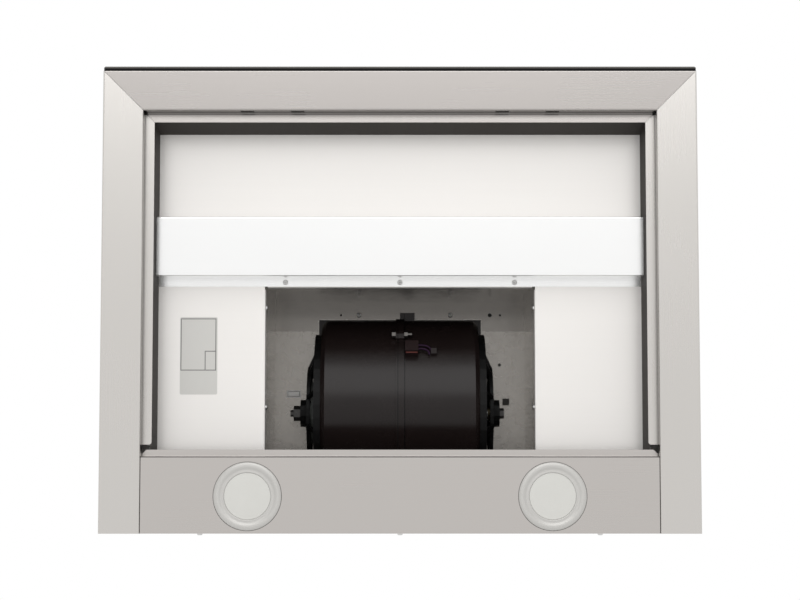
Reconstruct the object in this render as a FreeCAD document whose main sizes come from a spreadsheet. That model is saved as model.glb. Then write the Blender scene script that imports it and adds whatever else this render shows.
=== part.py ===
import FreeCAD, Part
import math
import os
import re

import Sketcher
from FreeCAD import Placement, Rotation, Vector

# Wall-mounted chimney cooker hood, 600 mm wide, with its grease filter taken out.
# Frame: +X to the right as seen from the front, +Y towards the wall, +Z up.
# The origin lies on the underside, in the middle of the canopy's width and depth.
# Inside the pieces, "from the wall" is the distance in front of the wall plane.

doc = FreeCAD.newDocument("cooker_hood")
sheet = doc.addObject("Spreadsheet::Sheet", "sizes")

SIZES = [
    # Canopy shell
    ("hood_width", 600, "over the side rails"),
    ("hood_depth", 470, "from the wall plane to the front of the glass"),
    ("canopy_height", 70, "underside of the rails to the top of the deck"),
    ("steel", 1.0, "folded stainless sheet of the canopy"),
    ("bend_inside", 0.6, "inside radius of a fold"),
    ("rail_width", 41, "flat underside of a rail"),
    ("step_height", 16, "height of the step inside the rails"),
    ("lip_width", 9.5, "ledge that carries the grease filter"),
    ("rail_flange", 10, "flange under the deck"),
    ("mitre_gap", 0.2, "half the joint line between two mitred rails"),
    ("relief", 2.2, "half the notch at the inner corner of a mitre"),
    ("side_lip_start", 88.5, "from the wall to the rear end of a side lip"),
    ("lip_corner", 2.5, "round on that end"),
    ("slot_length", 13.5, "hook slots in the front step"),
    ("slot_height", 7.5, ""),
    ("slot_inner", 103.5, "from the middle to the inner pair"),
    ("slot_outer", 154.5, "from the middle to the outer pair"),
    # Front glass
    ("glass", 4, "thickness"),
    ("glass_side_gap", 0.8, "set in from the side rails"),
    ("glass_lift", 0.5, "above the underside"),
    ("glass_bevel", 1.2, "ground edge"),
    ("touch_width", 132, "switch unit behind the glass"),
    ("touch_height", 32, ""),
    ("touch_depth", 9, ""),
    ("touch_play", 0.5, "of its face in the window"),
    ("unit_round", 2.5, "corners of the plastic units"),
    ("touch_window_width", 112, "window in the front skirt"),
    ("touch_window_height", 18, ""),
    # Rear of the canopy
    ("panel_recess", 2, "light panel above the underside"),
    ("panel_depth", 76.7, "from the wall to its step"),
    ("panel_lip", 6.7, "ledge in front of the step"),
    ("panel_flange", 30, "upright flange at the wall"),
    ("panel_side_gap", 0.5, "between the light panel and a side rail"),
    ("panel_chamfer", 4, "corner cut of the ledge"),
    ("safety_from_side", 80, "two wall screws through the rear panel"),
    ("safety_height", 50, ""),
    ("safety_radius", 3, ""),
    # Lamps
    ("lamp_from_side", 148, "from the side of the hood to a lamp's middle"),
    ("lamp_from_wall", 37, ""),
    ("bezel_radius", 34, ""),
    ("bezel_proud", 1.7, "below the light panel"),
    ("bezel_edge", 1.3, "its broken outer edge"),
    ("lens_radius", 23.2, ""),
    ("lens_thick", 3, ""),
    ("lens_drop", 0.6, "below the light panel"),
    ("neck_radius", 27.4, "tube that passes the light panel"),
    ("neck_height", 9, ""),
    ("can_radius", 31, "driver and cooler above the neck"),
    ("can_height", 18, ""),
    ("clip_reach", 11, "spring clips of a lamp"),
    ("clip_width", 9, ""),
    ("clip_thick", 1, ""),
    # Inner lining and wiring cover
    ("lining", 0.8, "sheet of the lining and the cover"),
    ("lining_setback", 0.3, "behind the edge of the lip"),
    ("lining_slant", 4.5, "lean of the front wall"),
    ("cover_depth", 60.8, "channel over the wiring"),
    ("cover_drop", 29, "below the deck"),
    ("cover_flange", 8.6, "screwed flange"),
    ("cover_gap", 1, "between the flange and the blower opening"),
    ("cover_end_gap", 0.5, "to the side walls"),
    ("cover_hook", 6, "front fold above the channel"),
    ("cover_screw_pitch", 118.5, ""),
    ("driver_length", 118, "lamp driver in the channel"),
    ("driver_width", 42, ""),
    ("driver_height", 24, ""),
    ("driver_middle", 118, "from the middle of the hood"),
    ("control_length", 156, "control unit in the channel"),
    ("control_width", 46, ""),
    ("control_height", 26, ""),
    # Blower housing above the deck
    ("mouth_width", 278, "opening in the deck"),
    ("mouth_front", 251.5, "from the wall to its front edge"),
    ("mouth_rear", 14, "from the wall to its rear edge"),
    ("mouth_fold", 12, "upturned edge"),
    ("box_height", 193, "deck to the top plate"),
    ("box_flange", 33, "inward flange of the front wall"),
    ("notch_play", 1.2, "around the blower's flange"),
    ("hang_spacing", 200, "keyholes in the rear wall"),
    ("hang_height", 225, "above the underside"),
    ("hang_radius", 5, ""),
    ("hang_slot", 5.4, "width of a keyhole's slot"),
    ("hang_slot_rise", 12, "from the hole to the end of the slot"),
    ("plate_hole_line", 13.7, "holes behind the front wall"),
    ("top_screw_left", 46.3, "two screws on that line"),
    ("top_screw_right", 56.7, ""),
    ("spare_hole_left", 66.6, "three spare holes on that line"),
    ("spare_hole_right", 101.3, ""),
    ("spare_hole_end", 112.8, ""),
    ("spare_small", 1.4, "radius"),
    ("spare_large", 2.4, "radius"),
    ("plate_hole_x", 112, "one more hole in the plate"),
    ("plate_hole_y", 181.5, "from the wall"),
    ("plate_hole_radius", 1.8, ""),
    ("grommet_x", 119, "lead-through of the mains lead"),
    ("grommet_y", 140, "from the wall"),
    ("grommet_rim", 3.7, "half its width"),
    ("grommet_neck", 3, "half the opening"),
    ("grommet_drop", 1.5, "below the plate"),
    ("grommet_rise", 1, "above the plate"),
    # Outlet collar and its flaps
    ("duct_radius", 75, "outside of the collar"),
    ("duct_wall", 2, ""),
    ("duct_height", 50, ""),
    ("duct_foot", 13, "flange around the collar"),
    ("duct_foot_height", 1.6, ""),
    ("ledge_width", 3.5, "stop under the flaps"),
    ("ledge_height", 22, "above the top plate"),
    ("flap_play", 1.6, "around the rim of a flap"),
    ("flap_thick", 1.2, ""),
    ("flap_rest", 0.3, "between a flap and its stop"),
    ("flap_split", 3.8, "from the pin to the straight edge"),
    ("knuckle_radius", 3.2, ""),
    ("knuckle_length", 40, ""),
    ("knuckle_start", 4, "from the middle of the collar"),
    ("pin_radius", 1.5, ""),
    ("pin_play", 0.05, "running clearance"),
    # Blower
    ("shaft_from_wall", 124, ""),
    ("shaft_height", 160, "above the underside"),
    ("scroll_half", 83, "half width of the scroll"),
    ("scroll_wall", 2.5, ""),
    ("scroll_front", 100, "reach in front of the shaft"),
    ("scroll_below", 88, "reach below the shaft"),
    ("scroll_rear", 80, "reach behind the shaft"),
    ("scroll_radius_rear", 84, "arc from the rear to the bottom"),
    ("scroll_radius_tongue", 72, "arc from the tongue to the rear"),
    ("tongue_angle", 50, "degrees above the shaft"),
    ("tongue_share", 0.8, "of a wall offset that the tongue follows"),
    ("throat_slant", 83, "top of the slanted wall, above the shaft"),
    ("throat_flange", 8, ""),
    ("throat_flange_thick", 3, ""),
    ("seam_rib", 2, "height of the joint rib"),
    ("seam_rib_width", 4.5, "on each half"),
    ("scroll_round", 4.5, "broken edge between rim and side"),
    ("inlet_radius", 57, ""),
    ("seam_bolt_angle", 40, "below the front"),
    ("seam_bolt_out", 5, "from the rim to the bolt"),
    ("seam_bolt_radius", 3.6, "over the corners"),
    ("seam_bolt_head", 4, ""),
    ("seam_nut", 3.5, ""),
    ("seam_thread", 2, "radius"),
    ("seam_bolt_past", 4.5, "thread past the nut"),
    ("lug_radius", 6, ""),
    ("tab_width", 16, "cable tab on the front of the scroll"),
    ("tab_reach", 11, ""),
    ("tab_height", 12, ""),
    ("tab_middle", 40, "above the shaft"),
    # Inlet guards
    ("guard_radius", 84.5, "rim of a guard"),
    ("guard_rim", 7, "depth of the rim"),
    ("guard_rim_wall", 9, ""),
    ("guard_knee", 50, "radius of the knee"),
    ("guard_depth", 15.5, "scroll side to the outer face of the ribs"),
    ("guard_hub_radius", 16, ""),
    ("guard_hub_depth", 4, ""),
    ("guard_hub_proud", 0.5, "hub's face past the ribs"),
    ("guard_ribs", 10, "count"),
    ("guard_ring", 3.5, "width of the knee ring"),
    ("guard_rib_width", 3.6, ""),
    ("guard_rib_thick", 3.5, ""),
    # Motor, shaft and impeller
    ("motor_radius", 42, ""),
    ("motor_length", 78, ""),
    ("motor_end", 5, "end bell"),
    ("motor_end_radius", 34, ""),
    ("motor_pad", 2.5, "between the end bell and the guard's hub"),
    ("motor_pad_radius", 12, ""),
    ("shaft_radius", 4, ""),
    ("shaft_play", 0.05, "running clearance"),
    ("shaft_in_motor", 28, ""),
    ("shaft_end_play", 0.4, "lengthwise"),
    ("bush_radius", 7, ""),
    ("bush_length", 7, ""),
    ("impeller_outer", 62, ""),
    ("impeller_inner", 50, ""),
    ("impeller_half", 74, ""),
    ("impeller_ring", 3, ""),
    ("impeller_disc", 2.5, ""),
    ("impeller_hub", 11, ""),
    ("impeller_hub_length", 26, ""),
    ("blades", 20, "count"),
    ("blade_sweep", 9, "degrees"),
    ("blade_thick", 2.2, "degrees"),
    ("washer_radius", 14.6, ""),
    ("washer_thick", 5.5, ""),
    ("nut_radius", 8.2, "over the corners"),
    ("nut_height", 7.5, ""),
    ("stud_past_nut", 3.5, ""),
    ("bolt_head_radius", 5.6, "over the corners"),
    ("bolt_head_height", 5, ""),
    # Leads
    ("connector_length", 14, "across the scroll"),
    ("connector_width", 14, ""),
    ("connector_height", 9, ""),
    ("connector_angle", 52, "below the front"),
    ("connector_offset", 5.2, "from the seam"),
    ("connector_seat", 0.05, "above the scroll"),
    ("lead_radius", 1.9, ""),
    ("lead_run", 13, "from the plug to its clip"),
    ("lead_lift", 3.5, "axis above the scroll"),
    ("lead_clip", 6, "width of the clip"),
    # Chimney covers
    ("chimney_side", 14, "its outside beyond the blower housing"),
    ("chimney_ahead", 16.5, "its front beyond the blower housing"),
    ("chimney_height", 420, "lower cover"),
    ("chimney_return", 11, "fold along the wall"),
    ("chimney_foot", 9, "flange on the deck"),
    ("chimney_play", 0.4, "between the two covers"),
    ("chimney_rest", 0.3, "upper cover above the flange"),
    ("chimney_show", 15, "upper cover above the lower"),
    ("vent_length", 70, "slots near the top"),
    ("vent_height", 4, ""),
    ("vent_pitch", 11, ""),
    ("vents", 8, "count"),
    ("vent_margin", 18, "below the top edge"),
    ("vent_middle", 130, "from the wall"),
    # Screws
    ("screw_head", 2.8, ""),
    ("screw_head_height", 1.9, ""),
    # Shared
    ("play", 0.1, "around a piece in its hole"),
    ("merge", 0.5, "how far two forms of one piece run into each other"),
    ("past", 5, "how far a cut runs past the piece"),
    ("rear_screw_from_side", 100, "outer two of the three"),
    ("rear_screw_height", 14, "above the underside"),
    ("box_screw_height", 76, "above the underside"),
    ("box_screw_rear", 128, "from the wall"),
    ("box_screw_front", 231, "from the wall"),
]

for row, (name, value, note) in enumerate(SIZES, start=1):
    sheet.set(f"A{row}", name)
    sheet.set(f"B{row}", str(value))
    sheet.setAlias(f"B{row}", name)
    sheet.set(f"C{row}", note)
doc.recompute()

NAMES = {name for name, value, note in SIZES}
parts = []


def bound(text):
    """The expression with each size name pointing at its cell."""
    return re.sub(r"[a-z_]+[a-z]", lambda found: linked(found.group()), str(text))


def linked(word):
    return "sizes." + word if word in NAMES else word


def val(text):
    """The present value of an expression, in mm or degrees."""
    return float(sheet.evalExpression(str(text)))


# ---------------------------------------------------------------- shared steps


def new_body(label, x="0", y="0", z="0", axis=(0, 0, 1), angle=0, kept=True):
    """An empty body whose own origin stands at x, y, z of the hood."""
    body = doc.addObject("PartDesign::Body", label)
    body.Label = label
    body.Placement = Placement(Vector(), Rotation(Vector(*axis), angle))
    body.setExpression("Placement.Base.x", bound(x))
    body.setExpression("Placement.Base.y", bound(y))
    body.setExpression("Placement.Base.z", bound(z))
    if kept:
        parts.append(body)
    return body


def datum(body, role):
    return [item for item in body.Origin.OriginFeatures if item.Role == role][0]


def circle(x, y, radius):
    return ("circle", x, y, radius)


FEW_SIDES = 8
SOME_SIDES = 16
MANY_SIDES = 40


def polygon(x, y, radius, sides):
    """A regular outline, used for round shapes that nothing turns in."""
    corners = []
    for number in range(sides):
        angle = 360 * (number + 0.5) / sides
        corners.append(
            (f"({x}) + ({radius}) * cos({angle})", f"({y}) + ({radius}) * sin({angle})")
        )
    return corners


def rectangle(x_low, x_high, y_low, y_high):
    return [(x_low, y_low), (x_high, y_low), (x_high, y_high), (x_low, y_high)]


def arc_shape(start, end, radius, turn):
    """Arc from start to end; turn is 1 when it runs anticlockwise."""
    chord = end - start
    rise = math.sqrt(max(radius * radius - chord.Length ** 2 / 4, 0))
    middle = (start + end) * 0.5
    left = Vector(-chord.y, chord.x, 0).normalize()
    centre = middle + left * rise * turn
    first, last = (start, end) if turn > 0 else (end, start)
    begin = math.atan2(first.y - centre.y, first.x - centre.x)
    finish = math.atan2(last.y - centre.y, last.x - centre.x)
    return Part.ArcOfCircle(Part.Circle(centre, Vector(0, 0, 1), radius), begin, finish)


def hold_point(sketch, index, end, x, y):
    for kind, text in (("DistanceX", x), ("DistanceY", y)):
        number = sketch.addConstraint(
            Sketcher.Constraint(kind, -1, 1, index, end, val(text))
        )
        sketch.setExpression(f"Constraints[{number}]", bound(text))


def hold_radius(sketch, index, radius):
    number = sketch.addConstraint(Sketcher.Constraint("Radius", index, val(radius)))
    sketch.setExpression(f"Constraints[{number}]", bound(radius))


def draw_loop(sketch, loop):
    """A closed outline; a point may name the radius and turn of the arc after it."""
    points = [Vector(val(corner[0]), val(corner[1]), 0) for corner in loop]
    ends = []
    for number, corner in enumerate(loop):
        start = points[number]
        end = points[(number + 1) % len(points)]
        if len(corner) == 4:
            shape = arc_shape(start, end, val(corner[2]), corner[3])
            ends.append((1, 2) if corner[3] > 0 else (2, 1))
        else:
            shape = Part.LineSegment(start, end)
            ends.append((1, 2))
        index = sketch.addGeometry(shape, False)
        if number == 0:
            first = index
    for number, corner in enumerate(loop):
        index = first + number
        following = (number + 1) % len(loop)
        sketch.addConstraint(
            Sketcher.Constraint(
                "Coincident", index, ends[number][1], first + following, ends[following][0]
            )
        )
        hold_point(sketch, index, ends[number][0], corner[0], corner[1])
        if len(corner) == 4:
            hold_radius(sketch, index, corner[2])


def draw(body, plane, lift, *loops):
    """A sketch on one of the body's own planes, lifted along that plane's normal."""
    sketch = body.newObject("Sketcher::SketchObject", body.Label + "_sketch")
    sketch.AttachmentSupport = [(datum(body, plane + "_Plane"), "")]
    sketch.MapMode = "FlatFace"
    sketch.setExpression("AttachmentOffset.Base.z", bound(lift))
    for loop in loops:
        if loop[0] == "circle":
            spot = Vector(val(loop[1]), val(loop[2]), 0)
            ring = Part.Circle(spot, Vector(0, 0, 1), val(loop[3]))
            index = sketch.addGeometry(ring, False)
            hold_point(sketch, index, 3, loop[1], loop[2])
            hold_radius(sketch, index, loop[3])
        else:
            draw_loop(sketch, loop)
    return sketch


def settled(feature):
    """Recomputes and stops at the first feature that fails."""
    doc.recompute()
    if not feature.isValid():
        raise RuntimeError(f"{feature.Label}: {feature.getStatusString()}")
    return feature


def pad(body, sketch, length, middle=False, back=False):
    feature = body.newObject("PartDesign::Pad", body.Label + "_pad")
    feature.Profile = sketch
    feature.setExpression("Length", bound(length))
    feature.Midplane = middle
    feature.Reversed = back
    return settled(feature)


def cut(body, sketch, length=None, back=False):
    """A pocket: without a length it goes both ways through everything."""
    before = body.Shape.Volume
    feature = body.newObject("PartDesign::Pocket", body.Label + "_pocket")
    feature.Profile = sketch
    if length is None:
        feature.Type = 1
        feature.Midplane = True
    else:
        feature.setExpression("Length", bound(length))
        feature.Reversed = back
    settled(feature)
    if body.Shape.Volume > before - 1e-3:
        raise RuntimeError(f"{body.Label}: a pocket takes nothing away")
    return feature


def turn(body, sketch, axis):
    feature = body.newObject("PartDesign::Revolution", body.Label + "_revolution")
    feature.Profile = sketch
    feature.ReferenceAxis = (sketch, [axis])
    feature.Angle = 360
    return settled(feature)


def polar(body, feature, axis, count):
    pattern = body.newObject("PartDesign::PolarPattern", body.Label + "_polar")
    pattern.Originals = [feature]
    pattern.Axis = (datum(body, axis + "_Axis"), [""])
    pattern.Angle = 360
    pattern.setExpression("Occurrences", bound(count))
    body.Tip = pattern
    return settled(pattern)


def row_of(body, feature, axis, span, count):
    pattern = body.newObject("PartDesign::LinearPattern", body.Label + "_row")
    pattern.Originals = [feature]
    pattern.Direction = (datum(body, axis + "_Axis"), [""])
    pattern.setExpression("Length", bound(span))
    pattern.setExpression("Occurrences", bound(count))
    body.Tip = pattern
    return settled(pattern)


def straight_edges(body, axis, corners):
    """Names of the body's long edges that run along an axis through given corners."""
    free = {"X": ("y", "z"), "Y": ("x", "z"), "Z": ("x", "y")}[axis]
    spots = [(val(first), val(second)) for first, second in corners]
    names = []
    for number, edge in enumerate(body.Tip.Shape.Edges, start=1):
        if edge.Curve.TypeId != "Part::GeomLine":
            continue
        ends = [vertex.Point for vertex in edge.Vertexes]
        for spot in spots:
            gaps = [
                math.hypot(getattr(end, free[0]) - spot[0], getattr(end, free[1]) - spot[1])
                for end in ends
            ]
            if max(gaps) < 1e-4:
                names.append(f"Edge{number}")
    return names


def rounded(body, radius, names):
    if not names:
        raise RuntimeError(f"{body.Label}: no edge to round")
    base = body.Tip
    feature = body.newObject("PartDesign::Fillet", body.Label + "_fillet")
    feature.Base = (base, names)
    feature.setExpression("Radius", bound(radius))
    return settled(feature)


def broken(body, size, names):
    """Flattens the named edges."""
    base = body.Tip
    feature = body.newObject("PartDesign::Chamfer", body.Label + "_chamfer")
    feature.Base = (base, names)
    feature.setExpression("Size", bound(size))
    return settled(feature)


def fold(body, radius, axis, corners):
    """Rounds the edges of a bend."""
    return rounded(body, radius, straight_edges(body, axis, corners))


def wall_body(label):
    """A body drawn from the middle of the wall line: its y is minus the distance."""
    return new_body(label, y="hood_depth / 2")


# ---------------------------------------------------------------- canopy shell

FRONT = "(hood_depth - glass)"
SKIRT_TOP = "(canopy_height - steel)"
DECK_UNDER = SKIRT_TOP
HALF = "(hood_width / 2)"
LIP_EDGE = "(rail_width + lip_width)"
BEND_OUTSIDE = "(bend_inside + steel)"
COVER_REAR = "(mouth_front + cover_gap + cover_flange)"
COVER_SCREW_LINE = "(mouth_front + cover_gap + cover_flange / 2)"
LAMP_X = "(hood_width / 2 - lamp_from_side)"
CHIMNEY_HALF = "(mouth_width / 2 + steel * 2 + chimney_side)"
CHIMNEY_FRONT = "(mouth_front + steel * 2 + chimney_ahead)"
CHIMNEY_FOOT_LINE = f"({CHIMNEY_HALF} - steel - chimney_foot / 2)"
CHIMNEY_SCREWS_AT = [f"{CHIMNEY_FRONT} / 5", f"{CHIMNEY_FRONT} * 3 / 4"]
BOX_SCREWS_AT = ["box_screw_rear", "box_screw_front"]
REAR_SCREWS_AT = [
    "rear_screw_from_side - hood_width / 2", "0", "hood_width / 2 - rear_screw_from_side"
]
COVER_SCREWS_AT = ["-cover_screw_pitch", "0", "cover_screw_pitch"]


def rail_outline(origin, sign):
    """Folded section: skirt, flat underside, step and filter lip."""
    section = [
        ("0", "0"),
        ("rail_width", "0"),
        ("rail_width", "step_height"),
        (LIP_EDGE, "step_height"),
        (LIP_EDGE, "step_height + steel"),
        ("rail_width - steel", "step_height + steel"),
        ("rail_width - steel", "steel"),
        ("steel", "steel"),
        ("steel", f"{SKIRT_TOP} - steel"),
        ("steel + rail_flange", f"{SKIRT_TOP} - steel"),
        ("steel + rail_flange", SKIRT_TOP),
        ("0", SKIRT_TOP),
    ]
    return [(f"{origin} {sign} ({across})", up) for across, up in section]


def fold_rail(body, origin, sign, axis):
    """Bends of the rail's sheet, outside and inside."""
    outer = [("0", "0"), ("rail_width", "0"), ("rail_width - steel", "step_height + steel")]
    inner = [("steel", "steel"), ("rail_width - steel", "steel")]
    inner = inner + [("rail_width", "step_height")]
    for radius, corners in ((BEND_OUTSIDE, outer), ("bend_inside", inner)):
        spots = [(f"{origin} {sign} ({across})", up) for across, up in corners]
        fold(body, radius, axis, spots)


def side_rail(label, sign):
    """Side rail: its front end is mitred, its lip stops short of the light panel."""
    other = "-" if sign == "+" else "+"
    origin = f"{other}{HALF}"
    body = wall_body(label)
    pad(body, draw(body, "XZ", "0", rail_outline(origin, sign)), FRONT)
    fold_rail(body, origin, sign, "Y")
    reach = f"({LIP_EDGE} + past)"
    beyond = f"(-{FRONT} - past * 2)"
    mitre = [
        (f"{origin} {other} past", f"-{FRONT} + mitre_gap - past"),
        (f"{origin} {sign} {reach}", f"-{FRONT} + mitre_gap + {reach}"),
        (f"{origin} {sign} {reach}", beyond),
        (f"{origin} {other} past", beyond),
    ]
    cut(body, draw(body, "XY", "0", mitre))
    short = rectangle(
        f"{origin} {sign} (rail_width)", f"{origin} {sign} {reach}", "-side_lip_start", "past"
    )
    cut(body, draw(body, "XY", "step_height - past", short), "steel + past * 2", back=True)
    fold(body, "lip_corner", "Z", [(f"{origin} {sign} {LIP_EDGE}", "-side_lip_start")])
    near = f"{origin} {sign} (rail_width - steel)"
    far = f"{origin} {sign} (rail_width + relief)"
    inner = f"-{FRONT} + rail_width"
    notch = rectangle(near, far, f"{inner} - relief", f"{inner} + relief")
    cut(body, draw(body, "XY", "steel + bend_inside", notch), "step_height", back=True)
    return body


def front_rail():
    """Front rail with both ends mitred, hook slots and the window for the switches."""
    body = wall_body("front_rail")
    origin = f"-{FRONT}"
    pad(body, draw(body, "YZ", "0", rail_outline(origin, "+")), "hood_width", middle=True)
    fold_rail(body, origin, "+", "X")
    reach = f"({LIP_EDGE} + past)"
    ends = []
    for sign, other in (("+", "-"), ("-", "+")):
        ends.append(
            [
                (f"{other}{HALF} {sign} (mitre_gap - past)", f"-{FRONT} - past"),
                (f"{other}{HALF} {sign} (mitre_gap + {reach})", f"-{FRONT} + {reach}"),
                (f"{other}({HALF} + past * 2)", f"-{FRONT} + {reach}"),
                (f"{other}({HALF} + past * 2)", f"-{FRONT} - past"),
            ]
        )
    cut(body, draw(body, "XY", "0", *ends))
    corners = []
    for sign in "-+":
        near = f"{sign}({HALF} - rail_width - relief)"
        far = f"{sign}({HALF} - rail_width + relief)"
        corners.append(rectangle(near, far, f"{origin} + rail_width - steel",
                                 f"{origin} + rail_width + relief"))
    cut(body, draw(body, "XY", "steel + bend_inside", *corners), "step_height", back=True)
    slots = []
    low = "(step_height - slot_height) / 2 + steel / 2"
    for middle in ("-slot_outer", "-slot_inner", "slot_inner", "slot_outer"):
        slots.append(
            rectangle(
                f"{middle} - slot_length / 2", f"{middle} + slot_length / 2",
                low, f"{low} + slot_height",
            )
        )
    step = f"({FRONT} - rail_width)"
    cut(body, draw(body, "XZ", f"{step} + steel * 2", *slots), "steel * 3")
    window = rectangle(
        "-touch_window_width / 2", "touch_window_width / 2",
        "(canopy_height - touch_window_height) / 2", "(canopy_height + touch_window_height) / 2",
    )
    cut(body, draw(body, "XZ", f"{FRONT} + steel", window), "steel * 3")
    return body


def canopy_deck():
    """Top of the canopy; its sheet is turned up around the blower opening."""
    body = wall_body("canopy_deck")
    plan = rectangle(f"-{HALF}", HALF, f"-{FRONT}", "0")
    mouth = rectangle("-mouth_width / 2", "mouth_width / 2", "-mouth_front", "-mouth_rear")
    pad(body, draw(body, "XY", DECK_UNDER, plan, mouth), "steel")
    upturn = [
        ("-mouth_width / 2 - steel", "-mouth_rear"),
        ("-mouth_width / 2 - steel", "-mouth_front - steel"),
        ("mouth_width / 2 + steel", "-mouth_front - steel"),
        ("mouth_width / 2 + steel", "-mouth_rear"),
        ("mouth_width / 2", "-mouth_rear"),
        ("mouth_width / 2", "-mouth_front"),
        ("-mouth_width / 2", "-mouth_front"),
        ("-mouth_width / 2", "-mouth_rear"),
    ]
    pad(body, draw(body, "XY", f"{DECK_UNDER} + steel / 2", upturn), "mouth_fold + steel / 2")
    reliefs = [
        rectangle(
            f"{sign}(mouth_width / 2 - relief)", f"{sign}(mouth_width / 2 + relief)",
            f"-{edge} - relief", f"-{edge} + relief",
        )
        for sign in "-+" for edge in ("mouth_front", "mouth_rear")
    ]
    cut(body, draw(body, "XY", DECK_UNDER, *reliefs))
    sides = [("-mouth_width / 2", DECK_UNDER), ("mouth_width / 2", DECK_UNDER)]
    fold(body, BEND_OUTSIDE, "X", [("-mouth_front", DECK_UNDER)])
    fold(body, BEND_OUTSIDE, "Y", sides)
    return body


def front_glass():
    """Glass strip across the front, ground along the edges of its front face."""
    body = wall_body("front_glass")
    plan = rectangle(
        f"-{HALF} + glass_side_gap", f"{HALF} - glass_side_gap", "-hood_depth", f"-{FRONT}"
    )
    pad(body, draw(body, "XY", "glass_lift", plan), "canopy_height - glass_lift")
    front = [
        f"Edge{number}"
        for number, edge in enumerate(body.Tip.Shape.Edges, start=1)
        if all(abs(corner.Y + val("hood_depth")) < 1e-4 for corner in edge.Vertexes)
    ]
    broken(body, "glass_bevel", front)
    return body


def touch_unit():
    """Switch unit behind the glass, against the inside of the front skirt."""
    body = wall_body("touch_unit")
    inside = f"({FRONT} - steel)"
    plan = rectangle("-touch_width / 2", "touch_width / 2", f"-{inside}", f"-{inside} + touch_depth")
    pad(body, draw(body, "XY", "(canopy_height - touch_height) / 2", plan), "touch_height")
    corners = [(f"{s}touch_width / 2", f"-{inside} + touch_depth") for s in "-+"]
    fold(body, "unit_round", "Z", corners)
    face = rectangle(
        "-touch_window_width / 2 + touch_play", "touch_window_width / 2 - touch_play",
        "(canopy_height - touch_window_height) / 2 + touch_play",
        "(canopy_height + touch_window_height) / 2 - touch_play",
    )
    pad(body, draw(body, "XZ", inside, face), "steel - play")
    return body


def rear_panel():
    """Rear wall of the canopy, set behind the light panel's flange."""
    body = wall_body("rear_panel")
    low = f"(panel_recess + {BEND_OUTSIDE} + play)"
    clear = "(step_height + steel + play)"
    wide = f"({HALF} - steel)"
    narrow = f"({HALF} - rail_width - panel_side_gap)"
    high = f"({SKIRT_TOP} - steel)"
    plate = [
        (f"-{narrow}", low), (narrow, low), (narrow, clear), (wide, clear),
        (wide, high), (f"-{wide}", high), (f"-{wide}", clear), (f"-{narrow}", clear),
    ]
    pad(body, draw(body, "XZ", "steel", plate), "steel")
    edge = "(rail_flange + steel + play * 2)"
    top = rectangle(f"-{HALF} + {edge}", f"{HALF} - {edge}", "-steel - rail_flange", "-steel")
    pad(body, draw(body, "XY", f"{SKIRT_TOP} - steel", top), "steel")
    apart = "(hood_width / 2 - safety_from_side)"
    holes = [circle(f"{sign}{apart}", "safety_height", "safety_radius") for sign in "-+"]
    cut(body, draw(body, "XZ", "0", *holes))
    return body


def light_panel():
    """Rear bar of the underside: flat with two lamp holes, a step and a ledge."""
    body = wall_body("light_panel")
    ledge = "step_height"
    profile = [
        ("0", "panel_recess"),
        ("-panel_depth", "panel_recess"),
        ("-panel_depth", ledge),
        ("-panel_depth - panel_lip", ledge),
        ("-panel_depth - panel_lip", f"{ledge} + steel"),
        ("-panel_depth + steel", f"{ledge} + steel"),
        ("-panel_depth + steel", "panel_recess + steel"),
        ("-steel", "panel_recess + steel"),
        ("-steel", "panel_recess + panel_flange"),
        ("0", "panel_recess + panel_flange"),
    ]
    half = f"({HALF} - rail_width - panel_side_gap)"
    pad(body, draw(body, "YZ", "0", profile), f"{half} * 2", middle=True)
    outer = [
        ("0", "panel_recess"),
        ("-panel_depth", "panel_recess"),
        ("-panel_depth + steel", f"{ledge} + steel"),
    ]
    inner = [
        ("-steel", "panel_recess + steel"),
        ("-panel_depth + steel", "panel_recess + steel"),
        ("-panel_depth", ledge),
    ]
    fold(body, BEND_OUTSIDE, "X", outer)
    fold(body, "bend_inside", "X", inner)
    front = "(-panel_depth - panel_lip)"
    corners = []
    for sign in "-+":
        corners.append(
            [
                (f"{sign}({half} - panel_chamfer - past)", f"{front} - past"),
                (f"{sign}({half} + past)", f"{front} - past"),
                (f"{sign}({half} + past)", f"{front} + panel_chamfer + past"),
            ]
        )
    cut(body, draw(body, "XY", "0", *corners))
    lamps = [
        circle(f"{sign}{LAMP_X}", "-lamp_from_wall", "neck_radius + play * 2")
        for sign in "-+"
    ]
    cut(body, draw(body, "XY", "0", *lamps), "panel_recess + steel * 2", back=True)
    return body


# ---------------------------------------------------------------- screws

DOWN = ((1, 0, 0), 180)
TO_WALL = ((1, 0, 0), -90)
TO_RIGHT = ((0, 1, 0), 90)
TO_LEFT = ((0, 1, 0), -90)
UP = ((0, 0, 1), 0)


def screw(label, x, y, z, facing, kept=True):
    """Head of a pan-head screw; it sits at its own origin and faces +Z."""
    axis, angle = facing
    body = new_body(label, x, y, z, axis, angle, kept)
    rim = draw(body, "XY", "0", polygon("0", "0", "screw_head", FEW_SIDES))
    pad(body, rim, "screw_head_height")
    return body


def together(label, members):
    """Several like screws kept as one piece of the parts list."""
    group = doc.addObject("Part::Compound", label)
    group.Label = label
    group.Links = members
    doc.recompute()
    parts.append(group)
    return group


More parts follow.
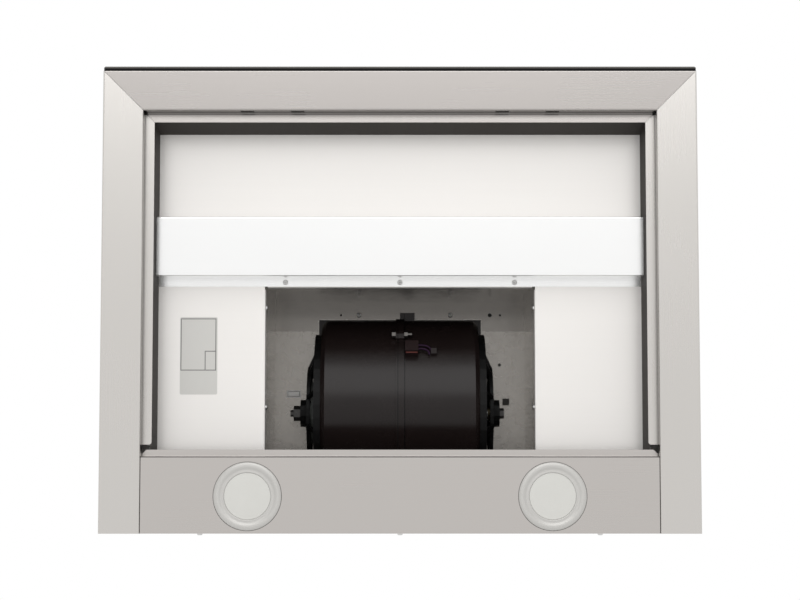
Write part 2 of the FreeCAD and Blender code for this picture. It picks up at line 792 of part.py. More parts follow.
def canopy_screws():
    for number, x in enumerate(COVER_SCREWS_AT, start=1):
        y = f"hood_depth / 2 - {COVER_SCREW_LINE}"
        z = f"{DECK_UNDER} - lining"
        screw(f"cover_screw_{number}", x, y, z, DOWN)
    for number, x in enumerate(REAR_SCREWS_AT, start=1):
        z = "rear_screw_height"
        screw(f"rear_screw_{number}", x, "hood_depth / 2", z, TO_WALL)
    number = 0
    for sign, facing in (("-", TO_RIGHT), ("+", TO_LEFT)):
        for y in BOX_SCREWS_AT:
            number += 1
            x = f"{sign}mouth_width / 2"
            away = f"hood_depth / 2 - {y}"
            screw(f"box_screw_{number}", x, away, "box_screw_height", facing)


# ---------------------------------------------------------------- lamps


def lamp(side, sign):
    """Recessed lamp: bezel, lens and the can with its two spring clips."""
    spot = (f"{sign}{LAMP_X}", "hood_depth / 2 - lamp_from_wall", "panel_recess")
    bezel = new_body(f"lamp_bezel_{side}", *spot)
    rim = draw(bezel, "XY", "0", polygon("0", "0", "bezel_radius", MANY_SIDES))
    pad(bezel, rim, "bezel_proud", back=True)
    low = [
        f"Edge{number}"
        for number, edge in enumerate(bezel.Tip.Shape.Edges, start=1)
        if all(abs(corner.Z + val("bezel_proud")) < 1e-4 for corner in edge.Vertexes)
    ]
    broken(bezel, "bezel_edge", low)
    hole = polygon("0", "0", "lens_radius + play", MANY_SIDES)
    cut(bezel, draw(bezel, "XY", "0", hole))
    lens = new_body(f"lamp_lens_{side}", *spot)
    face = polygon("0", "0", "lens_radius", MANY_SIDES)
    pad(lens, draw(lens, "XY", "-lens_drop", face), "lens_thick")
    can = new_body(f"lamp_can_{side}", *spot)
    seat = "(lens_thick - lens_drop)"
    neck = polygon("0", "0", "neck_radius", SOME_SIDES)
    pad(can, draw(can, "XY", seat, neck), f"neck_height - {seat} + merge")
    driver = polygon("0", "0", "can_radius", SOME_SIDES)
    pad(can, draw(can, "XY", "neck_height", driver), "can_height")
    arm = [
        ("can_radius - merge * 3", "neck_height + clip_thick"),
        ("can_radius + clip_reach - clip_thick * 2", "neck_height + clip_thick"),
        ("can_radius + clip_reach - clip_thick", "steel"),
        ("can_radius + clip_reach", "steel"),
        ("can_radius + clip_reach - clip_thick", "neck_height + clip_thick * 2"),
        ("can_radius - merge * 3", "neck_height + clip_thick * 2"),
    ]
    clip = pad(can, draw(can, "XZ", "0", arm), "clip_width", middle=True)
    polar(can, clip, "Z", "2")


# ---------------------------------------------------------------- lining and cover


def linings():
    """Dark inner walls between the filter lips and the deck."""
    face = f"({HALF} - {LIP_EDGE} + lining_setback)"
    low = "(step_height + steel)"
    front = f"({FRONT} - {LIP_EDGE} + lining_setback)"
    for side, sign in (("left", "-"), ("right", "+")):
        body = wall_body(f"lining_{side}")
        plan = rectangle(
            f"{sign}{face}", f"{sign}({face} + lining)",
            f"-{front} - lining", "-steel * 2 - rail_flange - play",
        )
        pad(body, draw(body, "XY", low, plan), f"{DECK_UNDER} - {low}")
    body = wall_body("lining_front")
    leaning = [
        (f"-{front}", low),
        (f"-{front} - lining", low),
        (f"-{front} - lining + lining_slant", DECK_UNDER),
        (f"-{front} + lining_slant", DECK_UNDER),
    ]
    pad(body, draw(body, "YZ", "0", leaning), f"{face} * 2", middle=True)


def wiring_cover():
    """Folded channel across the canopy, screwed up along its rear flange."""
    body = wall_body("wiring_cover")
    low = f"({DECK_UNDER} - cover_drop)"
    front = f"({COVER_REAR} + cover_depth)"
    profile = [
        (f"-{COVER_REAR} + cover_flange", DECK_UNDER),
        (f"-{COVER_REAR} + cover_flange", f"{DECK_UNDER} - lining"),
        (f"-{COVER_REAR}", f"{DECK_UNDER} - lining"),
        (f"-{COVER_REAR}", low),
        (f"-{front}", low),
        (f"-{front}", DECK_UNDER),
        (f"-{front} + cover_hook", DECK_UNDER),
        (f"-{front} + cover_hook", f"{DECK_UNDER} - lining"),
        (f"-{front} + lining", f"{DECK_UNDER} - lining"),
        (f"-{front} + lining", f"{low} + lining"),
        (f"-{COVER_REAR} - lining", f"{low} + lining"),
        (f"-{COVER_REAR} - lining", DECK_UNDER),
    ]
    half = f"({HALF} - {LIP_EDGE} + lining_setback - cover_end_gap)"
    pad(body, draw(body, "YZ", "0", profile), f"{half} * 2", middle=True)
    fold(body, "bend_inside + lining", "X", [(f"-{COVER_REAR}", low), (f"-{front}", low)])
    inner = [
        (f"-{front} + lining", f"{low} + lining"),
        (f"-{COVER_REAR} - lining", f"{low} + lining"),
    ]
    fold(body, "bend_inside", "X", inner)
    return body


def channel_units():
    """Lamp driver and control unit, hung from the deck inside the channel."""
    middle = f"({COVER_REAR} + cover_depth / 2)"
    units = (
        ("lamp_driver", "-", "driver_length", "driver_width", "driver_height"),
        ("control_unit", "+", "control_length", "control_width", "control_height"),
    )
    for label, sign, length, width, height in units:
        body = wall_body(label)
        centre = f"{sign}driver_middle"
        plan = rectangle(
            f"{centre} - {length} / 2", f"{centre} + {length} / 2",
            f"-{middle} - {width} / 2", f"-{middle} + {width} / 2",
        )
        pad(body, draw(body, "XY", f"{DECK_UNDER} - {height}", plan), height)
        corners = [
            (f"{centre} {a} {length} / 2", f"-{middle} {b} {width} / 2")
            for a in "-+" for b in "-+"
        ]
        fold(body, "unit_round", "Z", corners)


# ---------------------------------------------------------------- blower housing

BOX_INNER = "(mouth_width / 2 + steel)"
BOX_OUTER = "(mouth_width / 2 + steel * 2)"
BOX_FRONT = "(mouth_front + steel)"
BOX_TOP = "(canopy_height + box_height)"
HOLE_LINE = f"({BOX_FRONT} - steel - plate_hole_line)"
THROAT_SIDE = "(scroll_half + throat_flange)"
THROAT_FRONT = "(shaft_from_wall + scroll_front + throat_flange)"
THROAT_SCREW_X = "(scroll_half + throat_flange / 2)"
THROAT_SCREWS_AT = ["shaft_from_wall - scroll_rear / 2", "shaft_from_wall + scroll_rear / 2"]
SPARE_HOLES = [
    ("-spare_hole_left", "spare_small"),
    ("spare_hole_right", "spare_large"),
    ("spare_hole_end", "spare_small"),
]


def box_walls():
    """Sheet-steel housing of the blower: four walls standing on the deck."""
    for side, sign in (("left", "-"), ("right", "+")):
        body = wall_body(f"box_{side}")
        plan = rectangle(f"{sign}{BOX_INNER}", f"{sign}{BOX_OUTER}", f"-{BOX_FRONT}", "-steel")
        pad(body, draw(body, "XY", "canopy_height", plan), "box_height")
    body = wall_body("box_front")
    plan = rectangle(f"-{BOX_OUTER}", BOX_OUTER, f"-{BOX_FRONT} - steel", f"-{BOX_FRONT}")
    pad(body, draw(body, "XY", "canopy_height", plan), "box_height")
    inside = f"({BOX_INNER} - play * 2)"
    notch = f"({THROAT_SIDE} + notch_play)"
    notch_line = f"({THROAT_FRONT} + notch_play)"
    free = f"({BOX_FRONT} - box_flange)"
    flange = [
        (f"-{inside}", f"-{BOX_FRONT}"), (inside, f"-{BOX_FRONT}"),
        (inside, f"-{free}"), (notch, f"-{free}"),
        (notch, f"-{notch_line}"), (f"-{notch}", f"-{notch_line}"),
        (f"-{notch}", f"-{free}"), (f"-{inside}", f"-{free}"),
    ]
    pad(body, draw(body, "XY", f"{BOX_TOP} - steel", flange), "steel")
    plate_holes(body, False)
    body = wall_body("box_back")
    plate = rectangle(f"-{BOX_OUTER}", BOX_OUTER, "canopy_height", BOX_TOP)
    pad(body, draw(body, "XZ", "0", plate), "steel")
    holes = [circle(f"{sign}hang_spacing / 2", "hang_height", "hang_radius") for sign in "-+"]
    cut(body, draw(body, "XZ", "0", *holes))
    slots = [
        rectangle(
            f"{sign}hang_spacing / 2 - hang_slot / 2", f"{sign}hang_spacing / 2 + hang_slot / 2",
            "hang_height", "hang_height + hang_slot_rise",
        )
        for sign in "-+"
    ]
    cut(body, draw(body, "XZ", "0", *slots))


def plate_holes(body, whole):
    """Spare holes along the front flange, and on the plate also those behind it."""
    holes = [polygon(x, f"-{HOLE_LINE}", radius, FEW_SIDES) for x, radius in SPARE_HOLES]
    if whole:
        holes.append(polygon("plate_hole_x", "-plate_hole_y", "plate_hole_radius", FEW_SIDES))
        holes.append(circle("0", "-shaft_from_wall", "duct_radius - duct_wall"))
    cut(body, draw(body, "XY", BOX_TOP, *holes))


def box_top():
    """Top plate of the housing with the outlet opening."""
    body = wall_body("box_top")
    plan = rectangle(f"-{BOX_OUTER}", BOX_OUTER, f"-{BOX_FRONT} - steel", "0")
    pad(body, draw(body, "XY", BOX_TOP, plan), "steel")
    plate_holes(body, True)
    cut(body, draw(body, "XY", BOX_TOP, grommet_square("grommet_neck")))
    body = wall_body("grommet")
    layers = (
        ("grommet_rim", "-grommet_drop", "grommet_drop"),
        ("grommet_neck - play", "0", "steel"),
        ("grommet_rim", "steel", "grommet_rise"),
    )
    for reach, low, height in layers:
        square = grommet_square(f"({reach})")
        pad(body, draw(body, "XY", f"{BOX_TOP} + {low}", square), height)


def grommet_square(reach):
    return rectangle(
        f"grommet_x - {reach}", f"grommet_x + {reach}",
        f"-grommet_y - {reach}", f"-grommet_y + {reach}",
    )


def plate_screws():
    members = []
    for number, x in enumerate(("-top_screw_left", "top_screw_right"), start=1):
        y = f"hood_depth / 2 - {HOLE_LINE}"
        z = f"{BOX_TOP} - steel"
        members.append(screw(f"plate_screw_{number}", x, y, z, DOWN, False))
    together("plate_screws", members)
    members = []
    for sign in "-+":
        for y in THROAT_SCREWS_AT:
            x = f"{sign}{THROAT_SCREW_X}"
            name = f"blower_screw_{len(members) + 1}"
            z = f"{BOX_TOP} - throat_flange_thick"
            members.append(screw(name, x, f"hood_depth / 2 - ({y})", z, DOWN, False))
    together("blower_screws", members)


# ---------------------------------------------------------------- outlet collar

AXIS_RISE = "(ledge_height + flap_rest + flap_thick / 2)"
DUCT_INNER = "(duct_radius - duct_wall)"
FLAP_RADIUS = "(duct_radius - duct_wall - flap_play)"
DUCT_SPOT = ("0", "hood_depth / 2 - shaft_from_wall", f"{BOX_TOP} + steel")


def outlet_collar():
    """Round spigot with a step that stops the flaps and two bores for their pin."""
    body = new_body("outlet_collar", *DUCT_SPOT)
    profile = [
        (f"{DUCT_INNER} - ledge_width", "0"),
        ("duct_radius + duct_foot", "0"),
        ("duct_radius + duct_foot", "duct_foot_height"),
        ("duct_radius", "duct_foot_height"),
        ("duct_radius", "duct_height"),
        (DUCT_INNER, "duct_height"),
        (DUCT_INNER, "ledge_height"),
        (f"{DUCT_INNER} - ledge_width", "ledge_height"),
    ]
    turn(body, draw(body, "XZ", "0", profile), "V_Axis")
    cut(body, draw(body, "XZ", "0", circle("0", AXIS_RISE, "pin_radius + pin_play")))
    return body


def flap(label, angle):
    """Half disc with a knuckle on the common pin; the other one is the same part."""
    body = new_body(label, *DUCT_SPOT, axis=(0, 0, 1), angle=angle)
    low = "(ledge_height + flap_rest)"
    chord = f"sqrt({FLAP_RADIUS} ^ 2 - flap_split ^ 2)"
    plate = [("-flap_split", chord, FLAP_RADIUS, 1), ("-flap_split", f"-{chord}")]
    pad(body, draw(body, "XY", low, plate), "flap_thick")
    near = "(-knuckle_start - knuckle_length)"
    tab = rectangle("-flap_split - merge", "-pin_radius - merge", near, "-knuckle_start")
    pad(body, draw(body, "XY", low, tab), "flap_thick")
    knuckle = draw(body, "XZ", "knuckle_start",
                   polygon("0", AXIS_RISE, "knuckle_radius", FEW_SIDES))
    pad(body, knuckle, "knuckle_length")
    cut(body, draw(body, "XZ", "0", circle("0", AXIS_RISE, "pin_radius + pin_play")))
    return body


def flap_pin():
    pin = doc.addObject("Part::Cylinder", "flap_pin")
    pin.Label = "flap_pin"
    pin.Placement = Placement(Vector(), Rotation(Vector(1, 0, 0), 90))
    pin.setExpression("Radius", bound("pin_radius"))
    pin.setExpression("Height", bound("duct_radius * 2 - merge * 2"))
    pin.setExpression("Placement.Base.y", bound(f"{DUCT_SPOT[1]} + duct_radius - merge"))
    pin.setExpression("Placement.Base.z", bound(f"{DUCT_SPOT[2]} + {AXIS_RISE}"))
    doc.recompute()
    parts.append(pin)
    return pin


# ---------------------------------------------------------------- blower

SHAFT_SPOT = ("0", "hood_depth / 2 - shaft_from_wall", "shaft_height")
THROAT_TOP = f"({BOX_TOP} - shaft_height)"
LEAD_END = "(connector_offset + connector_length + lead_run)"


def scroll_outline(grow, top):
    """Side view of the scroll: arcs round the wheel, a tongue, and the throat above.

    It is drawn about the shaft, with the front of the hood on the left, and grow
    moves every wall outwards.
    """
    middle = "(scroll_rear - scroll_radius_rear)"
    low_centre = "(scroll_radius_rear - scroll_below)"
    front_radius = f"(scroll_front + {middle})"
    front_centre = f"({front_radius} - scroll_below)"
    tongue_centre = "(scroll_rear - scroll_radius_tongue)"
    tongue = f"(tongue_angle - ({grow}) * tongue_share)"
    tongue_radius = f"(scroll_radius_tongue + {grow})"
    rear = f"(scroll_rear + {grow})"
    front = f"(-scroll_front - {grow})"
    return [
        (front, f"{front_centre}", f"{front_radius} + {grow}", 1),
        (middle, f"-scroll_below - ({grow})", f"scroll_radius_rear + {grow}", 1),
        (rear, low_centre, tongue_radius, 1),
        (
            f"{tongue_centre} + {tongue_radius} * cos({tongue})",
            f"{low_centre} + {tongue_radius} * sin({tongue})",
        ),
        (rear, f"throat_slant - ({grow}) * tongue_share"),
        (rear, top),
        (front, top),
    ]


def rim_point(angle, out):
    """A point outside the front lower arc, as expressions for y and z."""
    middle = "(scroll_rear - scroll_radius_rear)"
    front_radius = f"(scroll_front + {middle})"
    front_centre = f"({front_radius} - scroll_below)"
    reach = f"({front_radius} + {out})"
    return (f"{middle} - {reach} * cos({angle})", f"{front_centre} - {reach} * sin({angle})")


def scroll(side, sign):
    """Half of the scroll: rim and side wall in one moulding, open at the seam."""
    back = sign == "-"
    body = new_body(f"scroll_{side}", *SHAFT_SPOT)
    pad(body, draw(body, "YZ", "0", scroll_outline("0", THROAT_TOP)), "scroll_half", back=back)
    names = []
    for number, edge in enumerate(body.Tip.Shape.Edges, start=1):
        ends = [vertex.Point for vertex in edge.Vertexes]
        on_side = all(abs(abs(end.x) - val("scroll_half")) < 1e-4 for end in ends)
        straight = edge.Curve.TypeId == "Part::GeomLine"
        at_front = all(abs(end.y + val("scroll_front")) < 1e-4 for end in ends)
        if on_side and (at_front or not straight):
            names.append(f"Edge{number}")
    broken(body, "scroll_round", names)
    rib = draw(body, "YZ", "0", scroll_outline("seam_rib", THROAT_TOP))
    pad(body, rib, "seam_rib_width", back=back)
    flange = rectangle("0", f"{sign}{THROAT_SIDE}", "-scroll_front - throat_flange",
                       "scroll_rear + throat_flange")
    thick = "throat_flange_thick"
    pad(body, draw(body, "XY", f"{THROAT_TOP} - {thick}", flange), thick)
    lug = polygon(*rim_point("seam_bolt_angle", "seam_bolt_out / 2"), "lug_radius", FEW_SIDES)
    pad(body, draw(body, "YZ", "0", lug), "seam_rib_width", back=back)
    if sign == "+":
        tab = rectangle("0", "tab_width", "-scroll_front - tab_reach", "-scroll_front + scroll_wall")
        pad(body, draw(body, "XY", "tab_middle - tab_height / 2", tab), "tab_height")
        clip = polygon(*rim_point("connector_angle", "0"), "lead_lift + lead_radius * 2", FEW_SIDES)
        pad(body, draw(body, "YZ", LEAD_END, clip), "lead_clip")
    cavity = scroll_outline("-scroll_wall", f"{THROAT_TOP} + past")
    cut(body, draw(body, "YZ", "0", cavity), "scroll_half - scroll_wall", back=not back)
    cut(body, draw(body, "YZ", "0", circle("0", "0", "inlet_radius")), "scroll_half + past",
        back=not back)
    return body


def guard(side, sign):
    """Inlet guard: rim, domed ribs, knee ring and hub in one moulding."""
    body = new_body(f"guard_{side}", *SHAFT_SPOT)
    face = "scroll_half"
    foot = "(guard_radius - guard_rim_wall)"
    crown = f"({face} + guard_depth)"
    thick = "guard_rib_thick"
    inside = f"({crown} - {thick} + guard_hub_depth / 2)"
    back = sign == "-"
    rim = draw(body, "YZ", f"{sign}{face}", polygon("0", "0", "guard_radius", MANY_SIDES),
               polygon("0", "0", foot, MANY_SIDES))
    pad(body, rim, "guard_rim", back=back)
    hub = draw(body, "YZ", f"{sign}{inside}", polygon("0", "0", "guard_hub_radius", SOME_SIDES))
    pad(body, hub, f"{HUB_FACE} - {inside}", back=back)
    knee = draw(body, "YZ", f"{sign}({crown} - {thick})",
                polygon("0", "0", "guard_knee", MANY_SIDES),
                polygon("0", "0", "guard_knee - guard_ring", MANY_SIDES))
    pad(body, knee, thick, back=back)
    rib = [
        (f"{face} + guard_rim / 2", f"{foot} + merge"),
        (crown, "guard_knee - merge"),
        (f"{inside} + {thick}", "guard_hub_radius - merge"),
        (inside, "guard_hub_radius - merge"),
        (f"{crown} - {thick}", f"guard_knee - {thick} / 2"),
        (face, f"{foot} + merge"),
    ]
    first = pad(body, draw(body, "XY", "0", mirrored(rib, sign)), "guard_rib_width", middle=True)
    polar(body, first, "X", "guard_ribs")
    if sign == "+":
        cut(body, draw(body, "YZ", "0", polygon("0", "0", "bush_radius", SOME_SIDES)))
    return body


def mirrored(loop, sign):
    return [(f"{sign}({corner[0]})",) + tuple(corner[1:]) for corner in loop]


HUB_FACE = "(scroll_half + guard_depth + guard_hub_depth / 2 + guard_hub_proud)"
MOTOR_END = "(scroll_half + guard_depth + guard_hub_depth / 2 - guard_rib_thick)"
MOTOR_FRONT = f"({MOTOR_END} - motor_pad - motor_end - motor_length)"


def motor():
    """Motor in the left inlet, screwed to the guard's hub through its end bell."""
    body = new_body("motor_body", *SHAFT_SPOT)
    bore = "(shaft_radius + shaft_play)"
    bell = f"({MOTOR_END} - motor_pad)"
    can = f"({MOTOR_END} - motor_pad - motor_end)"
    pad(body, draw(body, "YZ", f"-{can}", polygon("0", "0", "motor_radius", MANY_SIDES)),
        "motor_length")
    bell_face = polygon("0", "0", "motor_end_radius", SOME_SIDES)
    pad(body, draw(body, "YZ", f"-{can}", bell_face), "motor_end", back=True)
    middle = polygon("0", "0", "motor_pad_radius", SOME_SIDES)
    pad(body, draw(body, "YZ", f"-{bell}", middle), "motor_pad", back=True)
    depth = "(shaft_in_motor + shaft_end_play)"
    cut(body, draw(body, "YZ", f"-{MOTOR_FRONT}", circle("0", "0", bore)), depth)
    return body


def shaft_parts():
    """Drive shaft, its bush in the right guard, and what closes the two hubs."""
    shaft = doc.addObject("Part::Cylinder", "drive_shaft")
    shaft.Label = "drive_shaft"
    shaft.Placement = Placement(Vector(), Rotation(Vector(0, 1, 0), 90))
    start = f"(-{MOTOR_FRONT} - shaft_in_motor)"
    shaft.setExpression("Radius", bound("shaft_radius"))
    shaft.setExpression("Height", bound(f"{HUB_FACE} - {start} - shaft_end_play"))
    shaft.setExpression("Placement.Base.x", bound(start))
    shaft.setExpression("Placement.Base.y", bound(SHAFT_SPOT[1]))
    shaft.setExpression("Placement.Base.z", bound(SHAFT_SPOT[2]))
    doc.recompute()
    parts.append(shaft)
    bush = new_body("shaft_bush", *SHAFT_SPOT)
    inner = f"({HUB_FACE} - bush_length)"
    ring = draw(bush, "YZ", inner, polygon("0", "0", "bush_radius", SOME_SIDES),
                circle("0", "0", "shaft_radius + shaft_play"))
    pad(bush, ring, "bush_length")
    for side, sign in (("left", "-"), ("right", "+")):
        washer = new_body(f"hub_washer_{side}", *SHAFT_SPOT)
        disc = polygon("0", "0", "washer_radius", SOME_SIDES)
        pad(washer, draw(washer, "YZ", f"{sign}{HUB_FACE}", disc), "washer_thick", back=sign == "-")
    outside = f"({HUB_FACE} + washer_thick)"
    nut = new_body("axle_nut", *SHAFT_SPOT)
    pad(nut, draw(nut, "YZ", f"-{outside}", hexagon("nut_radius")), "nut_height", back=True)
    stud = draw(nut, "YZ", f"-{outside} - nut_height", polygon("0", "0", "shaft_radius", FEW_SIDES))
    pad(nut, stud, "stud_past_nut", back=True)
    bolt = new_body("axle_bolt", *SHAFT_SPOT)
    pad(bolt, draw(bolt, "YZ", outside, hexagon("bolt_head_radius")), "bolt_head_height")


def hexagon(radius):
    corners = []
    for number in range(6):
        corners.append((f"{radius} * cos({number * 60})", f"{radius} * sin({number * 60})"))
    return corners


BLADES = round(val("blades"))


def impeller():
    """Double-inlet wheel: disc, hub, two end rings and forward-swept blades."""
    body = new_body("impeller", *SHAFT_SPOT)
    disc = polygon("0", "0", "impeller_outer - merge", BLADES)
    pad(body, draw(body, "YZ", "0", disc), "impeller_disc", middle=True)
    inner = "(impeller_inner + merge)"
    outer = "(impeller_outer - merge * 3)"
    ahead = "(blade_sweep + blade_thick)"
    blade = [
        (inner, "0"),
        (f"{outer} * cos(blade_sweep)", f"{outer} * sin(blade_sweep)"),
        (f"{outer} * cos({ahead})", f"{outer} * sin({ahead})"),
        (f"{inner} * cos(blade_thick)", f"{inner} * sin(blade_thick)"),
    ]
    first = pad(body, draw(body, "YZ", "0", blade), "impeller_half * 2 - merge", middle=True)
    polar(body, first, "X", "blades")
    for sign in "-+":
        ring = draw(body, "YZ", f"{sign}impeller_half",
                    polygon("0", "0", "impeller_outer", BLADES),
                    polygon("0", "0", "impeller_inner", BLADES))
        pad(body, ring, "impeller_ring", back=sign == "+")
    hub = polygon("0", "0", "impeller_hub", SOME_SIDES)
    pad(body, draw(body, "YZ", "-impeller_disc", hub), "impeller_hub_length")
    cut(body, draw(body, "YZ", "0", circle("0", "0", "shaft_radius + shaft_play")))
    return body


# ---------------------------------------------------------------- bolt, connector, lead


def seam_bolt():
    """Head and nut of the clamping bolt, one on each side of the lugs."""
    y, z = rim_point("seam_bolt_angle", "seam_bolt_out")
    body = new_body("seam_bolt", "0", f"{SHAFT_SPOT[1]} + {y}", f"shaft_height + {z}")
    head = hexagon("seam_bolt_radius")
    pad(body, draw(body, "YZ", "-seam_rib_width", head), "seam_bolt_head", back=True)
    pad(body, draw(body, "YZ", "seam_rib_width", head), "seam_nut")
    tip = polygon("0", "0", "seam_thread", FEW_SIDES)
    pad(body, draw(body, "YZ", "seam_rib_width + seam_nut", tip), "seam_bolt_past")
    return body


def connector():
    """Plug of the motor lead, seated on the rim of the scroll."""
    y, z = rim_point("connector_angle", "connector_seat")
    angle = val("90 - connector_angle")
    body = new_body(
        "lead_connector", "connector_offset", f"{SHAFT_SPOT[1]} + {y}", f"shaft_height + {z}",
        (1, 0, 0), -angle,
    )
    block = rectangle("0", "connector_length", "-connector_width / 2", "connector_width / 2")
    pad(body, draw(body, "XY", "0", block), "connector_height", back=True)
    return body


def motor_lead():
    """Sleeved lead from the connector to its clip on the scroll."""
    y, z = rim_point("connector_angle", "lead_lift")
    start = "connector_offset + connector_length"
    body = new_body("motor_lead", start, f"{SHAFT_SPOT[1]} + {y}", f"shaft_height + {z}")
    pad(body, draw(body, "YZ", "0", polygon("0", "0", "lead_radius", FEW_SIDES)), "lead_run")
    return body


# ---------------------------------------------------------------- chimney covers


def chimney_outline(half, front, rear, inward):
    """U-shaped plan of a cover, open at the wall but for its two folds."""
    return [
        (f"-({half} - {inward})", f"-{rear}"), (f"-{half}", f"-{rear}"),
        (f"-{half}", f"-{front}"), (half, f"-{front}"),
        (half, f"-{rear}"), (f"{half} - {inward}", f"-{rear}"),
        (f"{half} - {inward}", f"-({rear} + steel)"), (f"{half} - steel", f"-({rear} + steel)"),
        (f"{half} - steel", f"-({front} - steel)"), (f"-({half} - steel)", f"-({front} - steel)"),
        (f"-({half} - steel)", f"-({rear} + steel)"),
        (f"-({half} - {inward})", f"-({rear} + steel)"),
    ]


def fold_cover(body, half, front, rear):
    outer = [(f"{sign}{half}", f"-{edge}") for sign in "-+" for edge in (front, rear)]
    inner = [(f"{sign}({half} - steel)", f"-({front} - steel)") for sign in "-+"]
    inner += [(f"{sign}({half} - steel)", f"-({rear} + steel)") for sign in "-+"]
    fold(body, BEND_OUTSIDE, "Z", outer)
    fold(body, "bend_inside", "Z", inner)


def chimney_lower():
    """Lower decorative cover, screwed to the deck through its foot flange."""
    body = wall_body("chimney_lower")
    outline = chimney_outline(CHIMNEY_HALF, CHIMNEY_FRONT, "0", "chimney_return")
    pad(body, draw(body, "XY", "canopy_height", outline), "chimney_height")
    fold_cover(body, CHIMNEY_HALF, CHIMNEY_FRONT, "0")
    inside = f"({CHIMNEY_HALF} - steel / 2)"
    edge = f"({CHIMNEY_HALF} - steel - chimney_foot)"
    front = f"({CHIMNEY_FRONT} - steel / 2)"
    front_edge = f"({CHIMNEY_FRONT} - steel - chimney_foot)"
    foot = [
        (f"-{inside}", "-steel * 4"), (f"-{inside}", f"-{front}"),
        (inside, f"-{front}"), (inside, "-steel * 4"),
        (edge, "-steel * 4"), (edge, f"-{front_edge}"),
        (f"-{edge}", f"-{front_edge}"), (f"-{edge}", "-steel * 4"),
    ]
    pad(body, draw(body, "XY", "canopy_height", foot), "steel")
    members = []
    for sign in "-+":
        for y in CHIMNEY_SCREWS_AT:
            name = f"chimney_screw_{len(members) + 1}"
            x = f"{sign}{CHIMNEY_FOOT_LINE}"
            away = f"hood_depth / 2 - {y}"
            z = "canopy_height + steel"
            members.append(screw(name, x, away, z, UP, False))
    together("chimney_screws", members)


def chimney_upper():
    """Upper cover: slides inside the lower one, with vent slots near its top."""
    body = wall_body("chimney_upper")
    half = f"({CHIMNEY_HALF} - steel - chimney_play)"
    front = f"({CHIMNEY_FRONT} - steel - chimney_play)"
    rear = "(steel + chimney_play)"
    inward = "(chimney_return - steel - chimney_play - bend_inside)"
    low = "(canopy_height + steel + chimney_rest)"
    high = "(canopy_height + chimney_height + chimney_show)"
    pad(body, draw(body, "XY", low, chimney_outline(half, front, rear, inward)), f"{high} - {low}")
    fold_cover(body, half, front, rear)
    slot = rectangle(
        "-vent_middle - vent_length / 2", "-vent_middle + vent_length / 2",
        f"{high} - vent_margin - vent_height", f"{high} - vent_margin",
    )
    first = cut(body, draw(body, "YZ", "0", slot))
    pattern = row_of(body, first, "Z", "vent_pitch * (vents - 1)", "vents")
    pattern.Reversed = True
    doc.recompute()


# ---------------------------------------------------------------- build

canopy_deck()
front_rail()
side_rail("left_rail", "+")
side_rail("right_rail", "-")
rear_panel()
light_panel()
front_glass()
touch_unit()
linings()
wiring_cover()
channel_units()
canopy_screws()
lamp("left", "-")
lamp("right", "+")
box_walls()
box_top()
plate_screws()
outlet_collar()
flap("flap_left", 0)
flap("flap_right", 180)
flap_pin()
scroll("left", "-")
scroll("right", "+")
guard("left", "-")
guard("right", "+")
motor()
shaft_parts()
impeller()
seam_bolt()
connector()
motor_lead()
chimney_lower()
chimney_upper()
doc.recompute()

faults = []
for item in doc.Objects:
    if "Invalid" in item.State or "Error" in item.State:
        faults.append(f"{item.Label}: {item.State}")
for item in parts:
    if item.Shape.isNull() or not item.Shape.isValid():
        faults.append(f"{item.Label}: no valid shape")
if faults:
    raise RuntimeError("; ".join(faults))

os.makedirs("parts", exist_ok=True)
for item in parts:
    item.Shape.exportStep(f"parts/{item.Label}.step")
print(len(parts), "pieces")
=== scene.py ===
import math

import bmesh
import bpy
from mathutils import Euler, Matrix, Vector


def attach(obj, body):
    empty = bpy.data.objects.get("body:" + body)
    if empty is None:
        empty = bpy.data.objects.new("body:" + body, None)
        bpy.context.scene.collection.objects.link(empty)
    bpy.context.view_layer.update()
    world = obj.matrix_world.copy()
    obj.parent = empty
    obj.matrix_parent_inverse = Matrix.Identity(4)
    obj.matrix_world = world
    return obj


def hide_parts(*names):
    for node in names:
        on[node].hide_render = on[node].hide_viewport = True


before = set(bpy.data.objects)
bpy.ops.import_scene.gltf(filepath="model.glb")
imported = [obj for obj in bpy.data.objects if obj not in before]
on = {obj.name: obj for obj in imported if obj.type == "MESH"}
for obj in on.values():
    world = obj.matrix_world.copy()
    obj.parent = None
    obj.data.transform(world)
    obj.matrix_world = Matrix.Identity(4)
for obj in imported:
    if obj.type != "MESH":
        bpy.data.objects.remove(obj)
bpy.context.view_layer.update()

# ------------------------------------------------------------------ camera
# A long lens straight below the hood looks up at its underside. The hood's front edge is
# at the top of the picture. A small tilt toward that edge frames it, with no lens shift.

LENS_REACH = 2.0611  # from the lens to the underside
LENS_TO_WALL = 0.1769  # from the hood's middle towards the wall
FIELD_WIDE = 0.7985  # what the picture's width spans at that reach
TILT = 0.08455

eye = bpy.data.cameras.new("eye")
eye.sensor_width = 36
eye.lens = 36 * LENS_REACH / FIELD_WIDE
camera = bpy.data.objects.new("camera", eye)
camera.location = (0, LENS_TO_WALL, -LENS_REACH)
camera.rotation_euler = Euler((math.pi + TILT, 0, 0))
bpy.context.scene.collection.objects.link(camera)
bpy.context.scene.camera = camera
bpy.context.scene.view_settings.view_transform = "Standard"

# ------------------------------------------------------------------ floor and light
# A pale floor lies far below the hood, and the surroundings are white. Large soft lamps
# above and below it give the level at which a colour shows as it is written.


